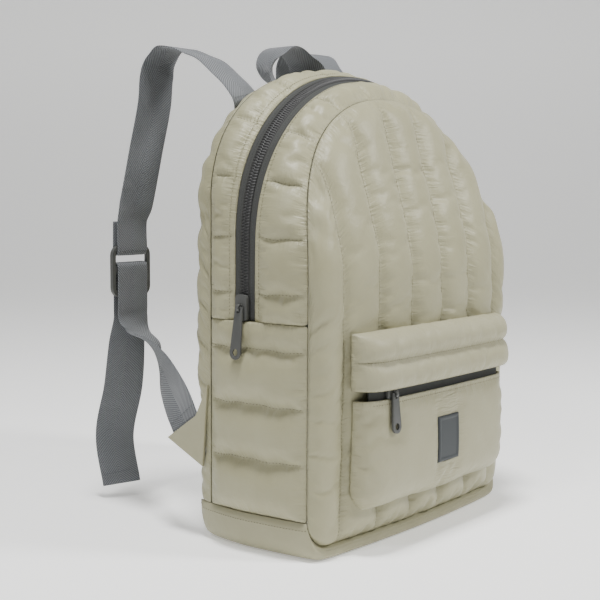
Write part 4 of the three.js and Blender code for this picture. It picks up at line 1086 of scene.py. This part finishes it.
def seatOnBack(x, z):
    touched = [backPanelPlace(x + share * strapSizes["width"], z) for share in (-0.5, 0.0, 0.5)]
    return np.max(touched, axis=0) + strapSizes["thickness"] / 2 + strapSizes["seatClear"]


def seatOrReach(share, x, z, reach):
    return np.where(share == 0, seatOnBack(x, z), shellSizes["rearSetback"] + share * reach)


def strapPath(rows, mirror):
    rows = np.array(rows, dtype=float)
    x = -rows[:, 0] * strapSizes["spread"]
    z = strapSizes["lift"] + rows[:, 2] * strapSizes["rise"]
    y = seatOrReach(rows[:, 1], x, z, strapSizes["reach"])
    centres = np.stack([mirror * x, y, z], axis=1)
    return centres, rows[:, 3:] * np.array([mirror, 1, 1])


adjusterSizes = {
    "across": 1.03, "back": 1.007, "up": 0.51,
    "height": 50, "bar": 6, "thickness": 4, "drop": 2, "flap": 26, "barClear": 0.3,
}


# Half a turn round an adjuster's bar
def barLoop(height, climbs, start, centre, clear):
    angle = np.linspace(0, math.pi, 5)
    rise = height + climbs * (adjusterSizes["bar"] / 2 + clear * np.sin(angle))
    return np.stack([0 * angle, start * clear * np.cos(angle), rise], axis=1) + centre


def addStraps(material):
    sizes, ring = strapSizes, adjusterSizes
    clear = ring["thickness"] / 2 + ring["barClear"] + sizes["thickness"] / 2
    topBar = ring["height"] / 2 - ring["drop"] - ring["bar"] / 2
    for side, mirror, upperRows in (("left", 1, leftUpperRows), ("right", -1, rightUpperRows)):
        centre = np.array([-mirror * ring["across"] * sizes["spread"],
                           shellSizes["rearSetback"] + ring["back"] * sizes["reach"],
                           sizes["lift"] + ring["up"] * sizes["rise"]])
        broad = np.array([[mirror, 0.0, 0.0]])
        flap = [np.array([[0, start * clear, topBar + ring["flap"]]]) + centre for start in (-1, 1)]
        upper, upperBroad = strapPath(upperRows, mirror)
        turn = np.concatenate([flap[0], barLoop(topBar, -1, -1, centre, clear), flap[1]])
        centres = np.concatenate([upper, turn])
        broads = np.concatenate([upperBroad, np.repeat(broad, len(turn), axis=0)])
        piece, path, across, normal = webbing(
            "strapUpper" + side.capitalize(), centres, broads, sizes["width"], sizes["thickness"], material)
        finishStrap(piece, "strap_upper_" + side)
        crossStitch(path, across, normal, [10, 14, len(path) - 4])
        lower, lowerBroad = strapPath(lowerRows, mirror)
        back, backBroad = strapPath(returnRows, mirror)
        turn = barLoop(0, 1, 1, centre, clear)
        centres = np.concatenate([lower, turn, back])
        broads = np.concatenate([lowerBroad, np.repeat(broad, len(turn), axis=0), backBroad])
        piece, path, across, normal = webbing(
            "strapLower" + side.capitalize(), centres, broads, sizes["width"], sizes["thickness"], material)
        finishStrap(piece, "strap_lower_" + side)
        crossStitch(path, across, normal, [4, 6, len(path) - 5, len(path) - 9])
    print("straps threaded")


def finishStrap(piece, node):
    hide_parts(node)
    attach(piece, "bag")


# Rows of thread across the webbing, on both its faces
def crossStitch(path, broad, normal, places):
    side = np.linspace(-0.44, 0.44, 12)[:, None] * strapSizes["width"]
    for place in places:
        for face in (-1, 1):
            route = path[place] + side * broad[place] + face * normal[place] * strapSizes["thickness"] / 2
            facing = np.broadcast_to(face * normal[place], route.shape)
            stitchRoutes["webbing"].append((route * mm, facing, 2.6, 0.55))


handleSizes = {"halfSpan": 28, "reach": 95, "rise": 32, "width": 36}


def addHandle(material):
    rows = np.array(handleRows, dtype=float)
    x = rows[:, 0] * handleSizes["halfSpan"]
    z = shellSizes["rear"][2] + rows[:, 2] * handleSizes["rise"]
    y = seatOrReach(rows[:, 1], x, z, handleSizes["reach"])
    piece, path, broad, normal = webbing("grabHandle", np.stack([x, y, z], axis=1), rows[:, 3:],
                                         handleSizes["width"], strapSizes["thickness"], material)
    finishStrap(piece, "grab_handle")
    crossStitch(path, broad, normal, [3, 8, len(path) - 4, len(path) - 9])
    print("handle set")


# A moulded or cut piece: the CAD node's own faces, welded, with its edges rounded by a bevel
def softenedPiece(name, node, body, material, edge, segments=3):
    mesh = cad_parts[node].data.copy()
    work = bmesh.new()
    work.from_mesh(mesh)
    bmesh.ops.remove_doubles(work, verts=work.verts, dist=0.01 * mm)
    bmesh.ops.dissolve_limit(work, angle_limit=math.radians(1), verts=work.verts, edges=work.edges)
    work.to_mesh(mesh)
    work.free()
    mesh.materials.clear()
    mesh.materials.append(material)
    mesh.shade_smooth()
    piece = bpy.data.objects.new(name, mesh)
    bpy.context.scene.collection.objects.link(piece)
    bevel = piece.modifiers.new("roundedEdge", "BEVEL")
    bevel.width = edge * mm
    bevel.segments = segments
    bevel.limit_method = "ANGLE"
    bevel.angle_limit = math.radians(35)
    bevel.harden_normals = True
    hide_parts(node)
    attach(piece, body)
    return piece


def addHardware(plastic, cloth):
    for node, body, edge in (
        ("main_zip_slider", "bag", 0.5), ("pocket_zip_slider", "bag", 0.4),
        ("main_pull_tab", "main_pull", 0.45), ("pocket_pull_tab", "pocket_pull", 0.45),
        ("strap_adjuster_left", "bag", 1.1), ("strap_adjuster_right", "bag", 1.1),
    ):
        softenedPiece(node.title().replace("_", ""), node, body, plastic, edge)
    for side in ("left", "right"):
        softenedPiece("strapTab" + side.capitalize(), "strap_tab_" + side, "bag", cloth, 0.9)
    print("hardware moulded")


# Stitches: small spindles along each route, a ring of four points between two tips, all in one mesh
def addStitches(name, routes, material):
    spindle = np.array([[0, 3, 2], [0, 4, 3], [0, 5, 4], [0, 2, 5],
                        [1, 2, 3], [1, 3, 4], [1, 4, 5], [1, 5, 2]])
    points, faces, count = [], [], 0
    for route, facing, pitch, thick in routes:
        length = np.concatenate([[0], np.cumsum(np.linalg.norm(np.diff(route, axis=0), axis=1))])
        number = max(1, int(length[-1] / (pitch * mm)))
        middle = (np.arange(number) + 0.5) * length[-1] / number
        spot = np.stack([np.interp(middle, length, route[:, k]) for k in range(3)], axis=1)
        ahead = np.stack([np.interp(middle + 0.3 * mm, length, route[:, k]) for k in range(3)], axis=1)
        behind = np.stack([np.interp(middle - 0.3 * mm, length, route[:, k]) for k in range(3)], axis=1)
        up = unit(np.stack([np.interp(middle, length, facing[:, k]) for k in range(3)], axis=1))
        run = unit(ahead - behind)
        aside = np.cross(run, up)
        half, radius = 0.36 * pitch * mm, thick / 2 * mm
        spot = spot + up * thick * mm / 2
        shape = np.stack([spot - run * half, spot + run * half, spot + aside * radius, spot + up * radius,
                          spot - aside * radius, spot - up * radius], axis=1)
        points.append(shape.reshape(-1, 3))
        faces.append((spindle[None] + 6 * np.arange(number)[:, None, None]).reshape(-1, 3) + count)
        count += 6 * number
    piece = makeMesh(name, np.concatenate(points), np.concatenate(faces), material)
    turnOutwards(piece)
    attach(piece, "bag")
    return piece


setCamera()
addStage()
print("camera and stage ready")

quiltedNylon = taffetaNylon("quilted")
plainNylon = taffetaNylon("plain")
webbingCloth = twillWebbing()
# Woven polyester zip tape: dark, matte, with a fine grain
wovenTape = plainFinish("wovenZipTape", "3B3C3A", 0.9, (0.8, 0.15), 0.03)
# Nylon monofilament coil: darker than its tape, with a soft gloss on each loop
nylonCoil = plainFinish("nylonCoil", "2B2B2B", 0.5, (0.6, 0.02))
# Injection-moulded acetal: dark grey, satin, with a fine sparked texture
mouldedAcetal = plainFinish("mouldedAcetal", "4A4B49", 0.5, (0.5, 0.03))
# Moulded silicone rubber: slate, dull, smooth to the touch
siliconeRubber = plainFinish("siliconeRubber", "393D3F", 0.6, (0.7, 0.04))
# Spun polyester thread in the hue of the shell and of the webbing; the shell thread is darker than the real
# thread, painted shade of the seam valleys it lies in
shellThreadWithSeamShade = plainFinish("shellThreadWithSeamShade", "6E6A52", 0.85, (0.3, 0.02))
webbingThread = plainFinish("webbingThread", "4E5154", 0.85, (0.3, 0.02))
print("materials ready")

addGusset(quiltedNylon)
addFrontPanel(quiltedNylon)
addBackPanel(quiltedNylon)
addBase(plainNylon)
addPocketBody(plainNylon)
addPocketHood(plainNylon)
addPocketTape(wovenTape)
addLabel(siliconeRubber)
addMainZip(wovenTape, nylonCoil)
addStraps(webbingCloth)
addHandle(webbingCloth)
addHardware(mouldedAcetal, plainNylon)
# The shell stitches carry the thread's colour darkened with painted seam shade
addStitches("shellStitches", stitchRoutes["shell"], shellThreadWithSeamShade)
addStitches("webbingStitches", stitchRoutes["webbing"], webbingThread)
print("stitches sewn")
